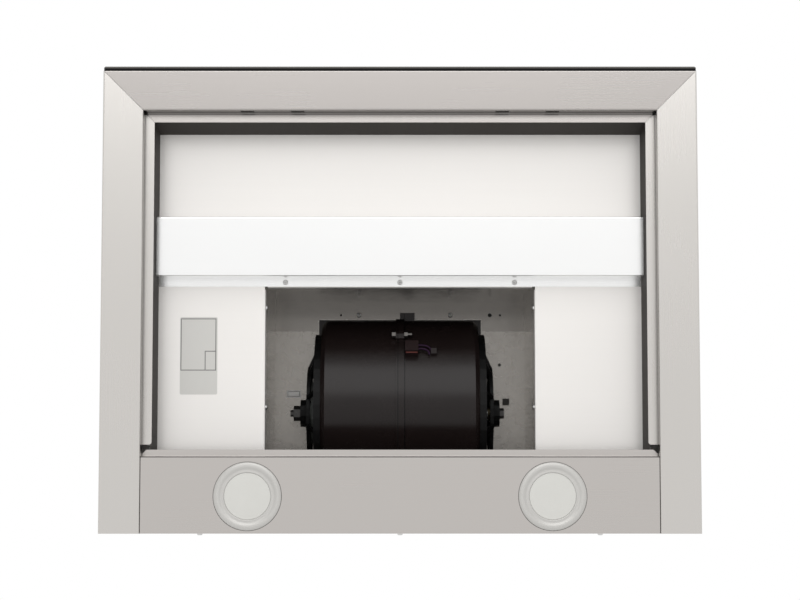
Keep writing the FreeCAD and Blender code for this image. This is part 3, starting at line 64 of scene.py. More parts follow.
class Reading:
    """The value of a socket, so that shader maths reads as arithmetic."""

    def __init__(self, finish, socket):
        self.finish = finish
        self.socket = socket

    def work(self, operation, first, second):
        return self.finish.node("Math", {"operation": operation}, {0: first, 1: second})

    def __add__(self, other):
        return self.work("ADD", self, other)

    def __radd__(self, other):
        return self.work("ADD", other, self)

    def __sub__(self, other):
        return self.work("SUBTRACT", self, other)

    def __rsub__(self, other):
        return self.work("SUBTRACT", other, self)

    def __mul__(self, other):
        return self.work("MULTIPLY", self, other)

    def __rmul__(self, other):
        return self.work("MULTIPLY", other, self)

    def __gt__(self, other):
        return self.work("GREATER_THAN", self, other)

    def __abs__(self):
        return self.finish.node("Math", {"operation": "ABSOLUTE"}, {0: self})


def wide(colour):
    """A colour with its alpha, or a reading as it is."""
    if isinstance(colour, Reading) or len(colour) == 4:
        return colour
    return (*colour, 1.0)


class Finish:
    """A material while its nodes are being laid out."""

    def __init__(self, name, owner=None):
        self.owner = owner or bpy.data.materials.new(name)
        self.owner.use_nodes = True
        self.tree = self.owner.node_tree
        self.tree.nodes.clear()

    def node(self, kind, settings=None, sockets=None, output=0):
        """Adds a node: its settings first, then the values or links of its sockets."""
        made = self.tree.nodes.new("ShaderNode" + kind)
        for key, value in (settings or {}).items():
            setattr(made, key, value)
        for key, value in (sockets or {}).items():
            if isinstance(value, Reading):
                self.tree.links.new(value.socket, made.inputs[key])
            else:
                made.inputs[key].default_value = value
        return Reading(self, made.outputs[output]) if made.outputs else None

    def mixed(self, share, first, second):
        """A colour between two others."""
        sockets = {0: share, 6: wide(first), 7: wide(second)}
        return self.node("Mix", {"data_type": "RGBA"}, sockets, 2)

    def place(self):
        """Where a point of the piece lies, in metres."""
        return self.node("TexCoord", output="Object")

    def part(self, axis):
        """That place along one axis."""
        return self.node("SeparateXYZ", {}, {0: self.place()}, "XYZ".index(axis))

    def stretched(self, along, across, axis):
        """That place with the grain drawn out along one axis."""
        scale = [across, across, across]
        scale["XYZ".index(axis)] = along
        return self.node("Mapping", {}, {"Vector": self.place(), "Scale": scale})

    def cloud(self, where, scale, detail=3.0, rough=0.55):
        """Soft noise from 0 to 1."""
        sockets = {"Vector": where, "Scale": scale, "Detail": detail, "Roughness": rough}
        return self.node("TexNoise", {}, sockets)

    def bumps(self, height, depth, strength=1.0):
        """Fine relief, for the Normal socket."""
        sockets = {"Height": height, "Distance": depth, "Strength": strength}
        return self.node("Bump", {}, sockets)

    def done(self, **sockets):
        """The surface shader, with its sockets given by name."""
        named = {key.replace("_", " "): value for key, value in sockets.items()}
        if "Base Color" in named:
            named["Base Color"] = wide(named["Base Color"])
        surface = self.node("BsdfPrincipled", {}, named)
        self.node("OutputMaterial", {}, {"Surface": surface})
        return self.owner


def wear(name, material):
    """Gives a CAD piece its material."""
    mesh = on[name].data
    mesh.materials.clear()
    mesh.materials.append(material)


UNSEEN_GLOW = 0.6  # strength of the surroundings where no camera or mirror meets them

sky = bpy.data.worlds.new("surroundings")
bpy.context.scene.world = sky
around = Finish("surroundings", sky)
seen = around.node("LightPath", output="Is Camera Ray")
mirrored = around.node("LightPath", output="Is Glossy Ray")
through = around.node("LightPath", output="Is Transmission Ray")
direct = around.node("Math", {"operation": "MAXIMUM"}, {0: seen, 1: mirrored})
direct = around.node("Math", {"operation": "MAXIMUM"}, {0: direct, 1: through})
strength = direct * (1 - UNSEEN_GLOW) + UNSEEN_GLOW
glow = around.node("Background", {}, {"Color": (1, 1, 1, 1), "Strength": strength})
around.node("OutputWorld", {}, {"Surface": glow})

FLOOR_LEVEL = -3.4
FLOOR_HALF = 60
FLOOR_HAZE = 0.6  # share of plain white that the camera sees in it

mesh = bpy.data.meshes.new("floor")
corners = [
    (x * FLOOR_HALF, y * FLOOR_HALF, FLOOR_LEVEL)
    for x, y in ((-1, -1), (1, -1), (1, 1), (-1, 1))
]
mesh.from_pydata(corners, [], [(0, 1, 2, 3)])
floor = bpy.data.objects.new("floor", mesh)
bpy.context.scene.collection.objects.link(floor)
pale = Finish("pale_floor")
tone = pale.mixed(pale.cloud(pale.place(), 2.0), (0.80, 0.80, 0.79), (0.84, 0.84, 0.83))
matt = pale.node("BsdfDiffuse", {}, {"Color": tone})
white = pale.node("Emission", {}, {"Color": (1, 1, 1, 1), "Strength": 1.0})
seen = pale.node("LightPath", output="Is Camera Ray")
mirrored = pale.node("LightPath", output="Is Glossy Ray")
share = pale.node("Math", {"operation": "MAXIMUM"}, {0: seen * FLOOR_HAZE, 1: mirrored})
both = pale.node("MixShader", {}, {0: share, 1: matt, 2: white})
pale.node("OutputMaterial", {}, {"Surface": both})
mesh.materials.append(pale.owner)


def soft_lamp(name, spot, aim, size, watts, shines):
    """A large soft lamp that the camera doesn't see; polished metal may mirror it."""
    light = bpy.data.lights.new(name, "AREA")
    light.shape = "SQUARE"
    light.size = size
    light.energy = watts
    lamp = bpy.data.objects.new(name, light)
    lamp.location = spot
    lamp.rotation_euler = (Vector(aim) - Vector(spot)).to_track_quat("-Z", "Y").to_euler()
    lamp.visible_camera = False
    lamp.visible_glossy = shines
    bpy.context.scene.collection.objects.link(lamp)


soft_lamp("under_lamp", (0, -0.1, -3.0), (0, 0, 0), 1.5, 32, False)
soft_lamp("sweep_lamp", (0, -2.0, -2.6), (0, -0.2, 0), 2.4, 31, True)
soft_lamp("front_lamp", (-1.6, -2.6, 1.6), (0, 0, 0.2), 2.0, 30, False)
soft_lamp("back_lamp", (1.8, 2.2, 1.8), (0, 0, 0.2), 2.0, 16, False)

# ------------------------------------------------------------------ canopy rails
# The frame round the underside is folded from 1 mm stainless sheet, ground with a belt
# along each rail and mitred at the front. It is hooked and spot-welded to the deck.

# The front rail is the same steel as the side rails; its darker tone is painted shade.
FRONT_RAIL_SHADED_TONE = (0.405, 0.383, 0.366)
SIDE_RAIL_TONE = (0.60, 0.578, 0.552)
# The lip strip is brightened (painted light); the fold strips are darkened (painted shade in
# the crease).
FRONT_LIP = (0.1777, 0.1879)  # from the hood's middle, as are the two below
FRONT_FOLD = (0.1881, 0.1901)
SIDE_FOLD = (0.2579, 0.2592)


def brushed(name, tone, axis, rough=0.27, streak=0.014, metal=1.0, light_and_shade_bands=(), top=None):
    """Belt-ground stainless steel with its grain along one axis.

    A band is a strip of another tone between two distances from a middle plane: painted
    shade where it darkens a fold, painted light where it brightens a lip. A top tone goes
    on faces that look up.
    """
    steel = Finish(name)
    hair = steel.cloud(steel.stretched(7, 2600, axis), 1.0, 2.0, 0.6)
    line = steel.cloud(steel.stretched(2.5, 420, axis), 1.0, 3.0, 0.6)
    broad = steel.cloud(steel.place(), 6.0, 2.0)
    share = hair * 0.25 + line * 0.45 + broad * 0.3
    dark = [part * (1 - streak) for part in tone]
    light = [min(part * (1 + streak), 1.0) for part in tone]
    colour = steel.mixed(share, dark, light)
    for across, start, end, factor in light_and_shade_bands:
        away = abs(steel.part(across))
        inside = (away > start) * (1 - (away > end))
        colour = steel.mixed(inside, colour, [part * factor for part in tone])
    if top:
        facing = steel.node("TexCoord", output="Normal")
        upward = steel.node("SeparateXYZ", {}, {0: facing}, 2) > 0.5
        colour = steel.mixed(upward, colour, top)
    dull = rough + 0.025 * (line - 0.5) + 0.04 * (broad - 0.5)
    grain = steel.bumps(hair * 0.7 + line * 0.3, 0.000012, 0.5)
    return steel.done(Base_Color=colour, Metallic=metal, Roughness=dull, Normal=grain)


wear("front_rail", brushed(
    "rail_steel_across", FRONT_RAIL_SHADED_TONE, "X",
    light_and_shade_bands=[("Y", *FRONT_LIP, 1.3), ("Y", *FRONT_FOLD, 0.60)],
))
# The fold band on the side rails is painted shade.
side_steel = brushed(
    "rail_steel_along", SIDE_RAIL_TONE, "Y", light_and_shade_bands=[("X", *SIDE_FOLD, 0.62)],
)
wear("left_rail", side_steel)
wear("right_rail", side_steel)

# ------------------------------------------------------------------ deck
# The top sheet of the canopy closes it above. Seen from below it is the bright ceiling
# of the bay; its edges are turned up around the opening of the blower.

CEILING_TONE = (0.80, 0.777, 0.752)
DECK_TONE = (0.56, 0.545, 0.525)

wear("canopy_deck", brushed(
    "deck_steel", CEILING_TONE, "X", rough=0.30, streak=0.02, metal=0.3, top=DECK_TONE,
))

# ------------------------------------------------------------------ front glass
# A strip of black glass is bonded to the front skirt; its edges are ground. The switch
# unit of black plastic sits behind it, in a window of the skirt.

GROUND_FROM = -0.2331
GROUND_RISE = 0.0012

glass = Finish("black_glass")
smear = glass.cloud(glass.place(), 14.0, 4.0)
dust = glass.cloud(glass.place(), 900.0, 2.0)
inner = glass.part("Y") > GROUND_FROM
under = 1 - (glass.part("Z") > GROUND_RISE)
ground = under * (1 - inner)
black = glass.mixed(smear, (0.006, 0.006, 0.006), (0.011, 0.011, 0.012))
wear("front_glass", glass.done(
    Base_Color=glass.mixed(ground, black, (0.125, 0.12, 0.11)),
    Roughness=0.05 + smear * 0.05 + dust * 0.02 + under * 0.4,
    Specular_IOR_Level=0.05,
    Coat_Weight=(0.8 + smear * 0.2) * (1 - under),
    Coat_Roughness=0.03,
    Normal=glass.bumps(smear, 0.00004, 0.2),
))


def moulded(name, tone, rough, depth=0.00012, gloss=0.5):
    """Moulded plastic with a faint spark-eroded skin."""
    skin = Finish(name)
    fine = skin.cloud(skin.place(), 1500.0, 3.0)
    flow = skin.cloud(skin.place(), 22.0, 3.0)
    dark = [part * 0.8 for part in tone]
    light = [min(part * 1.2, 1.0) for part in tone]
    return skin.done(
        Base_Color=skin.mixed(fine * 0.3 + flow * 0.7, dark, light),
        Roughness=rough + 0.12 * (flow - 0.5) + 0.06 * (fine - 0.5),
        Specular_IOR_Level=gloss,
        Normal=skin.bumps(fine * 0.8 + flow * 0.2, depth, 0.5),
    )


wear("touch_unit", moulded("switch_plastic", (0.02, 0.02, 0.021), 0.45))

# ------------------------------------------------------------------ dark linings
# Three strips of sheet stand between the filter lips and the deck. Their near-black
# colour is painted shade for the dark inner walls of the bay; the surface is glossy,
# with a slight orange-peel relief.

shade_sheet = Finish("lining_painted_shade")
peel = shade_sheet.cloud(shade_sheet.place(), 380.0, 2.0)
wash = shade_sheet.cloud(shade_sheet.place(), 9.0, 3.0)
lining_shade_surface = shade_sheet.done(
    # near-black tones: painted shade
    Base_Color=shade_sheet.mixed(wash, (0.050, 0.046, 0.042), (0.075, 0.069, 0.064)),
    Roughness=0.38 + peel * 0.08 + wash * 0.06,
    Specular_IOR_Level=0.01,
    Normal=shade_sheet.bumps(peel, 0.0001, 0.35),
)
for name in ("lining_front", "lining_left", "lining_right"):
    wear(name, lining_shade_surface)

# ------------------------------------------------------------------ wiring cover
# A bright folded channel crosses the canopy over the lamp driver and the control unit.
# Three pan-head screws hold its rear flange; a recessed cross takes the driver.

wear("wiring_cover", brushed(
    "cover_steel", (0.89, 0.89, 0.885), "X", rough=0.20, streak=0.015, metal=0.9,
))
unit_plastic = moulded("unit_plastic", (0.72, 0.71, 0.68), 0.55)
wear("lamp_driver", unit_plastic)
wear("control_unit", unit_plastic)

HEAD_RADIUS = 0.0028
HEAD_RISE = 0.0019
RECESS_HALF = 0.00045
RECESS_REACH = 0.0016
RECESS_DEPTH = 0.0011
RING_STEP = 0.00022
HEAD_TURN = 1.1  # radians between the crosses of neighbouring heads
COVER_SCREW_PITCH = 0.1185
COVER_SCREW_LINE = -0.0218
COVER_UNDER = 0.0682

zinc = Finish("zinc_plate")
spots = zinc.cloud(zinc.place(), 700.0, 3.0)
patina = zinc.cloud(zinc.place(), 160.0, 3.0)
screw_zinc = zinc.done(
    Base_Color=zinc.mixed(patina, (0.50, 0.50, 0.50), (0.74, 0.73, 0.71)),
    Metallic=1.0,
    Roughness=0.24 + spots * 0.16,
    Normal=zinc.bumps(spots, 0.00003, 0.4),
)


def piece(name, mesh, material, body, stands_for=(), smooth=True):
    """Puts a finished mesh into the scene and ties it to its body."""
    made = bpy.data.objects.new(name, mesh)
    bpy.context.scene.collection.objects.link(made)
    mesh.materials.append(material)
    for face in mesh.polygons:
        face.use_smooth = smooth
    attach(made, body)
    if stands_for:
        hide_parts(*stands_for)


def closed_ring(shape, last, ring):
    """Joins a ring of points to the last one, or closes the first with a face."""
    if not last:
        shape.faces.new(ring)
        return
    for side in range(len(ring)):
        after = (side + 1) % len(ring)
        shape.faces.new((last[side], ring[side], ring[after], last[after]))


def meshed(name, shape):
    """The finished mesh of a shape, with its faces turned outwards."""
    bmesh.ops.recalc_face_normals(shape, faces=shape.faces)
    mesh = bpy.data.meshes.new(name)
    shape.to_mesh(mesh)
    shape.free()
    return mesh


def head_height(across, up):
    """Height of a pan head over its seat, with the cross recess pressed in."""
    radius = math.hypot(across, up)
    edge = min(radius / HEAD_RADIUS, 1.0)
    dome = HEAD_RISE * (1 - 0.12 * edge ** 2 - 0.55 * edge ** 8)
    in_cross = min(abs(across), abs(up)) < RECESS_HALF and radius < RECESS_REACH
    sunk = RECESS_DEPTH * (1.15 - radius / RECESS_REACH) if in_cross else 0
    return dome - sunk


def turned_shape(name, spots, facing, rings, height, sides=40):
    """One mesh of like round pieces: rings of points about an axis at each spot.

    A ring is a radius and a level; where it has no level, height gives one.
    """
    shape = bmesh.new()
    turned = Vector((0, 0, 1)).rotation_difference(Vector(facing)).to_matrix().to_4x4()
    for number, spot in enumerate(spots):
        spin = Matrix.Rotation(number * HEAD_TURN, 4, "Z")
        seat = Matrix.Translation(Vector(spot)) @ turned @ spin
        last = None
        for radius, level in rings:
            ring = []
            for side in range(sides):
                angle = 2 * math.pi * side / sides
                across, up = radius * math.cos(angle), radius * math.sin(angle)
                rise = height(across, up) if level is None else level
                ring.append(shape.verts.new(seat @ Vector((across, up, rise))))
            closed_ring(shape, last, ring)
            last = ring
    return meshed(name, shape)


HEAD_RINGS = [(RING_STEP * step, None) for step in range(1, 13)] + [(HEAD_RADIUS, 0)]


def screw_heads(name, spots, facing, body, stands_for):
    """Pan heads with a cross recess, at each spot, facing one way."""
    mesh = turned_shape(name, spots, facing, HEAD_RINGS, head_height)
    piece(name, mesh, screw_zinc, body, stands_for)


screw_heads(
    "cover_screw_heads",
    [(turn * COVER_SCREW_PITCH, COVER_SCREW_LINE, COVER_UNDER) for turn in (-1, 0, 1)],
    (0, 0, -1), "hood", ["cover_screw_1", "cover_screw_2", "cover_screw_3"],
)

# ------------------------------------------------------------------ rating sticker
# A metallised label, left blank, is stuck to the deck beside the blower opening, and a
# small white one to the top plate. Both have round corners.

LABEL_THICK = 0.00012
PRINT_LINE = 0.0005  # half the width of a printed line
DECK_UNDER = 0.069
PLATE_UNDER = 0.263


def label(name, left, right, front, rear, corner, under, tone, print_tone, boxes):
    """A thin label on a face that looks down, with printed boxes that stay empty."""
    shape = bmesh.new()
    outline = []
    for x, y, start in (
        (right - corner, rear - corner, 0), (left + corner, rear - corner, 90),
        (left + corner, front + corner, 180), (right - corner, front + corner, 270),
    ):
        for turn in range(0, 91, 15):
            angle = math.radians(start + turn)
            outline.append((x + corner * math.cos(angle), y + corner * math.sin(angle)))
    low = [shape.verts.new((x, y, under - LABEL_THICK)) for x, y in outline]
    high = [shape.verts.new((x, y, under)) for x, y in outline]
    shape.faces.new(low)
    for number in range(len(outline)):
        after = (number + 1) % len(outline)
        shape.faces.new((low[number], low[after], high[after], high[number]))
    mesh = meshed(name, shape)
    film = Finish(name)
    inked = 0
    for box_left, box_right, box_front, box_rear in boxes:
        side = abs(film.part("X") - (box_left + box_right) / 2) - (box_right - box_left) / 2
        end = abs(film.part("Y") - (box_front + box_rear) / 2) - (box_rear - box_front) / 2
        edge = film.node("Math", {"operation": "MAXIMUM"}, {0: side, 1: end})
        inked = (edge > -PRINT_LINE) * (1 - (edge > PRINT_LINE)) + inked
    printed = film.node("Math", {"operation": "MINIMUM"}, {0: inked, 1: 1.0})
    blotch = film.cloud(film.place(), 120.0, 3.0)
    plain = film.mixed(blotch, [part * 0.97 for part in tone], tone)
    material = film.done(
        Base_Color=film.mixed(printed, plain, print_tone),
        Roughness=0.42 + blotch * 0.1,
        Normal=film.bumps(blotch, 0.00005, 0.3),
    )
    piece(name, mesh, material, "hood", (), False)


label(
    "rating_label", left=-0.2272, right=-0.1886, front=0.0142, rear=0.0942,
    corner=0.0015, under=DECK_UNDER, tone=(0.62, 0.61, 0.585),
    print_tone=(0.20, 0.195, 0.19),
    boxes=[(-0.2262, -0.1903, 0.0160, 0.0690), (-0.2012, -0.1903, 0.0495, 0.0690)],
)
label(
    "plate_label", left=-0.1276, right=-0.1115, front=0.0819, rear=0.0902,
    corner=0.0008, under=PLATE_UNDER, tone=(0.88, 0.87, 0.85),
    print_tone=(0.30, 0.29, 0.28), boxes=[(-0.1262, -0.1129, 0.0833, 0.0888)],
)

# ------------------------------------------------------------------ light panel
# The rear bar of the underside is one folded stainless sheet with a step and a ledge
# towards the filter; the rear wall stands behind it. Three screws hold it at the wall.

PANEL_STEP = (0.1584, 0.1598)  # from the hood's middle
WALL_PLANE = 0.235
REAR_SCREW_PITCH = 0.2
REAR_SCREW_RISE = 0.014

# The strip at the step is darkened: painted shade at the fold.
wear("light_panel", brushed(
    "panel_steel", (0.52, 0.493, 0.470), "X", rough=0.28, light_and_shade_bands=[("Y", *PANEL_STEP, 0.30)],
))
wear("rear_panel", brushed("rear_steel", (0.50, 0.47, 0.45), "X", rough=0.40))
screw_heads(
    "rear_screw_heads",
    [(turn * REAR_SCREW_PITCH, WALL_PLANE, REAR_SCREW_RISE) for turn in (-1, 0, 1)],
    (0, 1, 0), "hood", ["rear_screw_1", "rear_screw_2", "rear_screw_3"],
)

# ------------------------------------------------------------------ lamps
# Two round recessed lamps snap into the light panel. Each has a silver-painted bezel on
# a thin gasket, a frosted lens, and an aluminium can held by two spring clips.

LAMP_OUT = 0.152
LAMP_BACK = 0.198
PANEL_UNDER = 0.002
LAMP_SPOTS = {
    "left": (-LAMP_OUT, LAMP_BACK, PANEL_UNDER),
    "right": (LAMP_OUT, LAMP_BACK, PANEL_UNDER),
}
BEZEL_OUTLINE = [
    (0.0340, 0.0000), (0.0340, 0.0003), (0.0337, 0.0008), (0.0331, 0.0012),
    (0.0322, 0.0015), (0.0312, 0.0017), (0.0298, 0.0017), (0.0288, 0.0016),
    (0.0280, 0.0013), (0.0272, 0.0009), (0.0262, 0.0007), (0.0250, 0.0008),
    (0.0242, 0.0009), (0.0236, 0.0008), (0.0233, 0.0004), (0.0233, -0.0010),
]
LENS_OUTLINE = [
    (0.0020, 0.00060), (0.0080, 0.00058), (0.0140, 0.00052), (0.0190, 0.00042),
    (0.0205, 0.00036), (0.0212, 0.00028), (0.0219, 0.00036), (0.0226, 0.00036),
    (0.02325, 0.00020), (0.02325, -0.00200),
]
GASKET_OUTLINE = [(0.0338, 0.0002), (0.0343, 0.0002), (0.0344, 0)]
LAMP_SIDES = 96

silver = Finish("silver_paint")
fleck = silver.cloud(silver.place(), 2600.0, 2.0)
drift = silver.cloud(silver.place(), 30.0, 3.0)
bezel_paint = silver.done(
    Base_Color=silver.mixed(
        fleck * 0.4 + drift * 0.6, (0.47, 0.46, 0.44), (0.55, 0.54, 0.52),
    ),
    Metallic=0.35,
    Roughness=0.34 + fleck * 0.08,
    Normal=silver.bumps(fleck, 0.00003, 0.3),
)
frost = Finish("frosted_lens")
etch = frost.cloud(frost.place(), 1800.0, 3.0)
haze = frost.cloud(frost.place(), 40.0, 3.0)
lens_frost = frost.done(
    Base_Color=frost.mixed(haze, (0.60, 0.595, 0.565), (0.64, 0.635, 0.605)),
    Roughness=0.38 + etch * 0.12,
    Coat_Weight=0.15 + haze * 0.1,
    Normal=frost.bumps(etch, 0.00005, 0.4),
)
gasket_rubber = moulded("gasket_rubber", (0.07, 0.066, 0.062), 0.6)
cast = Finish("cast_aluminium")
pits = cast.cloud(cast.place(), 900.0, 4.0)
patch = cast.cloud(cast.place(), 60.0, 3.0)
cast_metal = cast.done(
    Base_Color=cast.mixed(patch, (0.50, 0.50, 0.51), (0.62, 0.62, 0.63)),
    Metallic=0.9,
    Roughness=0.42 + pits * 0.15,
    Normal=cast.bumps(pits, 0.0001, 0.5),
)


def lamp_ring(name, spot, outline):
    """The mesh of a round lamp piece that looks down."""
    return turned_shape(name, [spot], (0, 0, -1), outline, None, LAMP_SIDES)


def without_cap(mesh):
    """Takes away the face that closes the first ring."""
    hollow = bmesh.new()
    hollow.from_mesh(mesh)
    caps = [face for face in hollow.faces if len(face.verts) > 4]
    bmesh.ops.delete(hollow, geom=caps, context="FACES")
    hollow.to_mesh(mesh)
    hollow.free()
    return mesh


for side, spot in LAMP_SPOTS.items():
    mesh = lamp_ring(f"lens_{side}", spot, LENS_OUTLINE)
    piece(f"lens_{side}", mesh, lens_frost, "hood", [f"lamp_lens_{side}"])
    mesh = without_cap(lamp_ring(f"bezel_{side}", spot, BEZEL_OUTLINE))
    piece(f"bezel_{side}", mesh, bezel_paint, "hood", [f"lamp_bezel_{side}"])
    mesh = lamp_ring(f"gasket_{side}", spot, GASKET_OUTLINE)
    piece(f"gasket_{side}", mesh, gasket_rubber, "hood", ())
    wear(f"lamp_can_{side}", cast_metal)

# ------------------------------------------------------------------ blower housing
# The box above the deck is folded from galvanised sheet: a matt grey metal with large
# faint crystals. Its walls are screwed to the upturned edge of the deck. Its faces get
# different tones of that one sheet, darkest in front and brightest at the sides: painted
# shade and painted light. Black discs in four spare holes of the top plate are painted
# shade for the dark behind the holes.

SIDE_WALL = 0.139  # inner face, from the hood's middle
BOX_SCREW_LINES = (0.107, 0.004)
BOX_SCREW_RISE = 0.076
PLATE_HOLE_LINE = -0.0028
PLATE_SCREW_SEAT = 0.262
BLOWER_SCREW_OUT = 0.087
BLOWER_SCREW_LINES = (0.071, 0.151)
BLOWER_SCREW_SEAT = 0.260
HOLE_SHADE_SEAT = 0.2633


def galvanised(name, tone, rough, metal):
    """Zinc-coated sheet with faint crystals and a dull rolled surface."""
    sheet = Finish(name)
    sockets = {"Vector": sheet.place(), "Scale": 110.0}
    crystal = sheet.node("TexVoronoi", {}, sockets, "Distance")
    roll = sheet.cloud(sheet.stretched(3, 300, "X"), 1.0, 3.0)
    stain = sheet.cloud(sheet.place(), 7.0, 3.0)
    share = crystal * 0.35 + roll * 0.25 + stain * 0.4
    dark = [part * 0.93 for part in tone]
    light = [part * 1.07 for part in tone]
    return sheet.done(
        Base_Color=sheet.mixed(share, dark, light),
        Metallic=metal,
        Roughness=rough + crystal * 0.08,
        Normal=sheet.bumps(crystal * 0.6 + roll * 0.4, 0.00004, 0.3),
    )


# One sheet, a tone per face: the dark front wall is painted shade, the bright back and side
# walls painted light.
wear("box_top", galvanised("plate_zinc", (0.35, 0.33, 0.305), 0.22, 0.55))
wear("box_front", galvanised("front_zinc_painted_shade", (0.175, 0.165, 0.153), 0.13, 1.0))
wear("box_back", galvanised("back_zinc", (0.60, 0.585, 0.56), 0.20, 0.9))
lit_side_zinc = galvanised("wall_zinc_painted_light", (0.90, 0.88, 0.85), 0.16, 1.0)
for name in ("box_left", "box_right"):
    wear(name, lit_side_zinc)
for side, sign, stood_for in (
    ("left", -1, ["box_screw_1", "box_screw_2"]),
    ("right", 1, ["box_screw_3", "box_screw_4"]),
):
    spots = [(sign * SIDE_WALL, y, BOX_SCREW_RISE) for y in BOX_SCREW_LINES]
    screw_heads(f"box_screw_heads_{side}", spots, (-sign, 0, 0), "hood", stood_for)
screw_heads(
    "plate_screw_heads",
    [(x, PLATE_HOLE_LINE, PLATE_SCREW_SEAT) for x in (-0.0463, 0.0567)],
    (0, 0, -1), "hood", ["plate_screws"],
)
screw_heads(
    "blower_screw_heads",
    [(sign * BLOWER_SCREW_OUT, y, BLOWER_SCREW_SEAT)
     for sign in (-1, 1) for y in BLOWER_SCREW_LINES],
    (0, 0, -1), "hood", ["blower_screws"],
)

# Four dark discs fill spare holes of the top plate: painted shade for the dark behind the
# holes.
plug_and_hole_shade_plastic = moulded("hole_shade_plastic", (0.014, 0.014, 0.014), 0.6)
for size, holes in (
    (0.0013, [(-0.0666, PLATE_HOLE_LINE), (0.1128, PLATE_HOLE_LINE)]),
    (0.0017, [(0.112, 0.0535)]),
    (0.0023, [(0.1013, PLATE_HOLE_LINE)]),
):
    name = f"blank_{round(size * 10000)}"
    rings = [(size * 0.3, 0), (size * 0.7, 0), (size, -0.0001), (size, -0.0006)]
    spots = [(x, y, HOLE_SHADE_SEAT) for x, y in holes]
    mesh = turned_shape(name, spots, (0, 0, -1), rings, None, sides=24)
    piece(name, mesh, plug_and_hole_shade_plastic, "hood", ())

rubber = Finish("grommet_rubber")
grime = rubber.cloud(rubber.place(), 500.0, 3.0)
wear("grommet", rubber.done(
    Base_Color=rubber.mixed(grime, (0.045, 0.043, 0.040), (0.075, 0.072, 0.067)),
    Roughness=0.7 + grime * 0.15,
    Normal=rubber.bumps(grime, 0.0001, 0.4),
))

# ------------------------------------------------------------------ outlet collar
# A moulded spigot for a 150 mm duct stands on the top plate. Two half-round flaps turn
# on one steel pin and fall shut when no air comes.

collar_plastic = moulded("collar_plastic", (0.022, 0.022, 0.023), 0.5)
for name in ("outlet_collar", "flap_left", "flap_right"):
    wear(name, collar_plastic)

drawn = Finish("drawn_steel")
score = drawn.cloud(drawn.place(), 1200.0, 3.0)
drawn_steel = drawn.done(
    Base_Color=drawn.mixed(score, (0.42, 0.42, 0.42), (0.60, 0.60, 0.60)),
    Metallic=1.0,
    Roughness=0.26 + score * 0.12,
    Normal=drawn.bumps(score, 0.00003, 0.4),
)
wear("flap_pin", drawn_steel)

# ------------------------------------------------------------------ blower
# The scroll is moulded in two halves from black filled plastic, clamped along a ribbed
# seam by one bolt. Ribbed guards close both inlets; the left one carries the motor.

GROOVES = (-0.0022, 0.0048)  # on either side of the seam's rib
GROOVE_HALF = 0.0004

shell = Finish("scroll_plastic")
fine = shell.cloud(shell.place(), 1500.0, 3.0)
flow = shell.cloud(shell.place(), 22.0, 3.0)
across = shell.part("X")
# The grooves are coloured near-black: painted shadow at the edges of the seam's rib; the bump
# also sinks them.
seam = 2
for groove in GROOVES:
    seam = seam - (abs(across - groove) > GROOVE_HALF)
share = fine * 0.3 + flow * 0.7
plain = shell.mixed(share, (0.0080, 0.0056, 0.0053), (0.0115, 0.0076, 0.0071))
scroll_plastic = shell.done(
    # near-black grooves: painted shadow
    Base_Color=shell.mixed(seam, plain, (0.001, 0.001, 0.001)),
    Roughness=0.26 + 0.10 * (flow - 0.5) + 0.06 * (fine - 0.5),
    Specular_IOR_Level=0.24,
    Normal=shell.bumps(fine * 0.12 + flow * 0.03 - seam * 0.6, 0.0005, 0.5),
)
guard_plastic = moulded("guard_plastic", (0.004, 0.004, 0.004), 0.46, 0.0001, 0.12)
for name in ("scroll_left", "scroll_right"):
    wear(name, scroll_plastic)
for name in ("guard_left", "guard_right", "hub_washer_left", "hub_washer_right"):
    wear(name, guard_plastic)
wear("motor_body", moulded("motor_paint", (0.060, 0.064, 0.060), 0.45, 0.0001, 0.3))
wear("drive_shaft", drawn_steel)
wear("impeller", moulded("impeller_plastic", (0.03, 0.03, 0.032), 0.5))
bronze = Finish("sintered_bronze")
pore = bronze.cloud(bronze.place(), 2200.0, 3.0)
wear("shaft_bush", bronze.done(
    Base_Color=bronze.mixed(pore, (0.055, 0.045, 0.030), (0.085, 0.07, 0.045)),
    Metallic=0.9,
    Roughness=0.4 + pore * 0.1,
    Normal=bronze.bumps(pore, 0.00004, 0.4),
))

blacked = Finish("blackened_steel")
oil = blacked.cloud(blacked.place(), 420.0, 3.0)
black_steel = blacked.done(
    Base_Color=blacked.mixed(oil, (0.030, 0.029, 0.028), (0.065, 0.062, 0.060)),
    Metallic=0.8,
    Roughness=0.30 + oil * 0.15,
    Normal=blacked.bumps(oil, 0.00005, 0.4),
)
wear("axle_nut", black_steel)
wear("axle_bolt", black_steel)
dulled = Finish("dulled_zinc")
tarnish = dulled.cloud(dulled.place(), 300.0, 3.0)
wear("seam_bolt", dulled.done(
    Base_Color=dulled.mixed(tarnish, (0.09, 0.085, 0.08), (0.20, 0.19, 0.18)),
    Metallic=1.0,
    Roughness=0.30 + tarnish * 0.15,
    Normal=dulled.bumps(tarnish, 0.00003, 0.4),
))

# ------------------------------------------------------------------ motor lead
# A dark plug sits on the scroll beside the seam, with a red-brown locking strip. Two
# thin leads run from it across the scroll and under a clip that is moulded on.

PLUG_LEFT, PLUG_RIGHT = 0.0052, 0.0192
PLUG_UNDER = 0.0809
STRIP_BACK = 0.0498
STRIP_INSET = 0.001  # at each end of the plug
STRIP_WIDTH = 0.0012
STRIP_THICK = 0.0006
LEAD_RADIUS = 0.0009
PATH_STEPS = 6  # between two points of a route

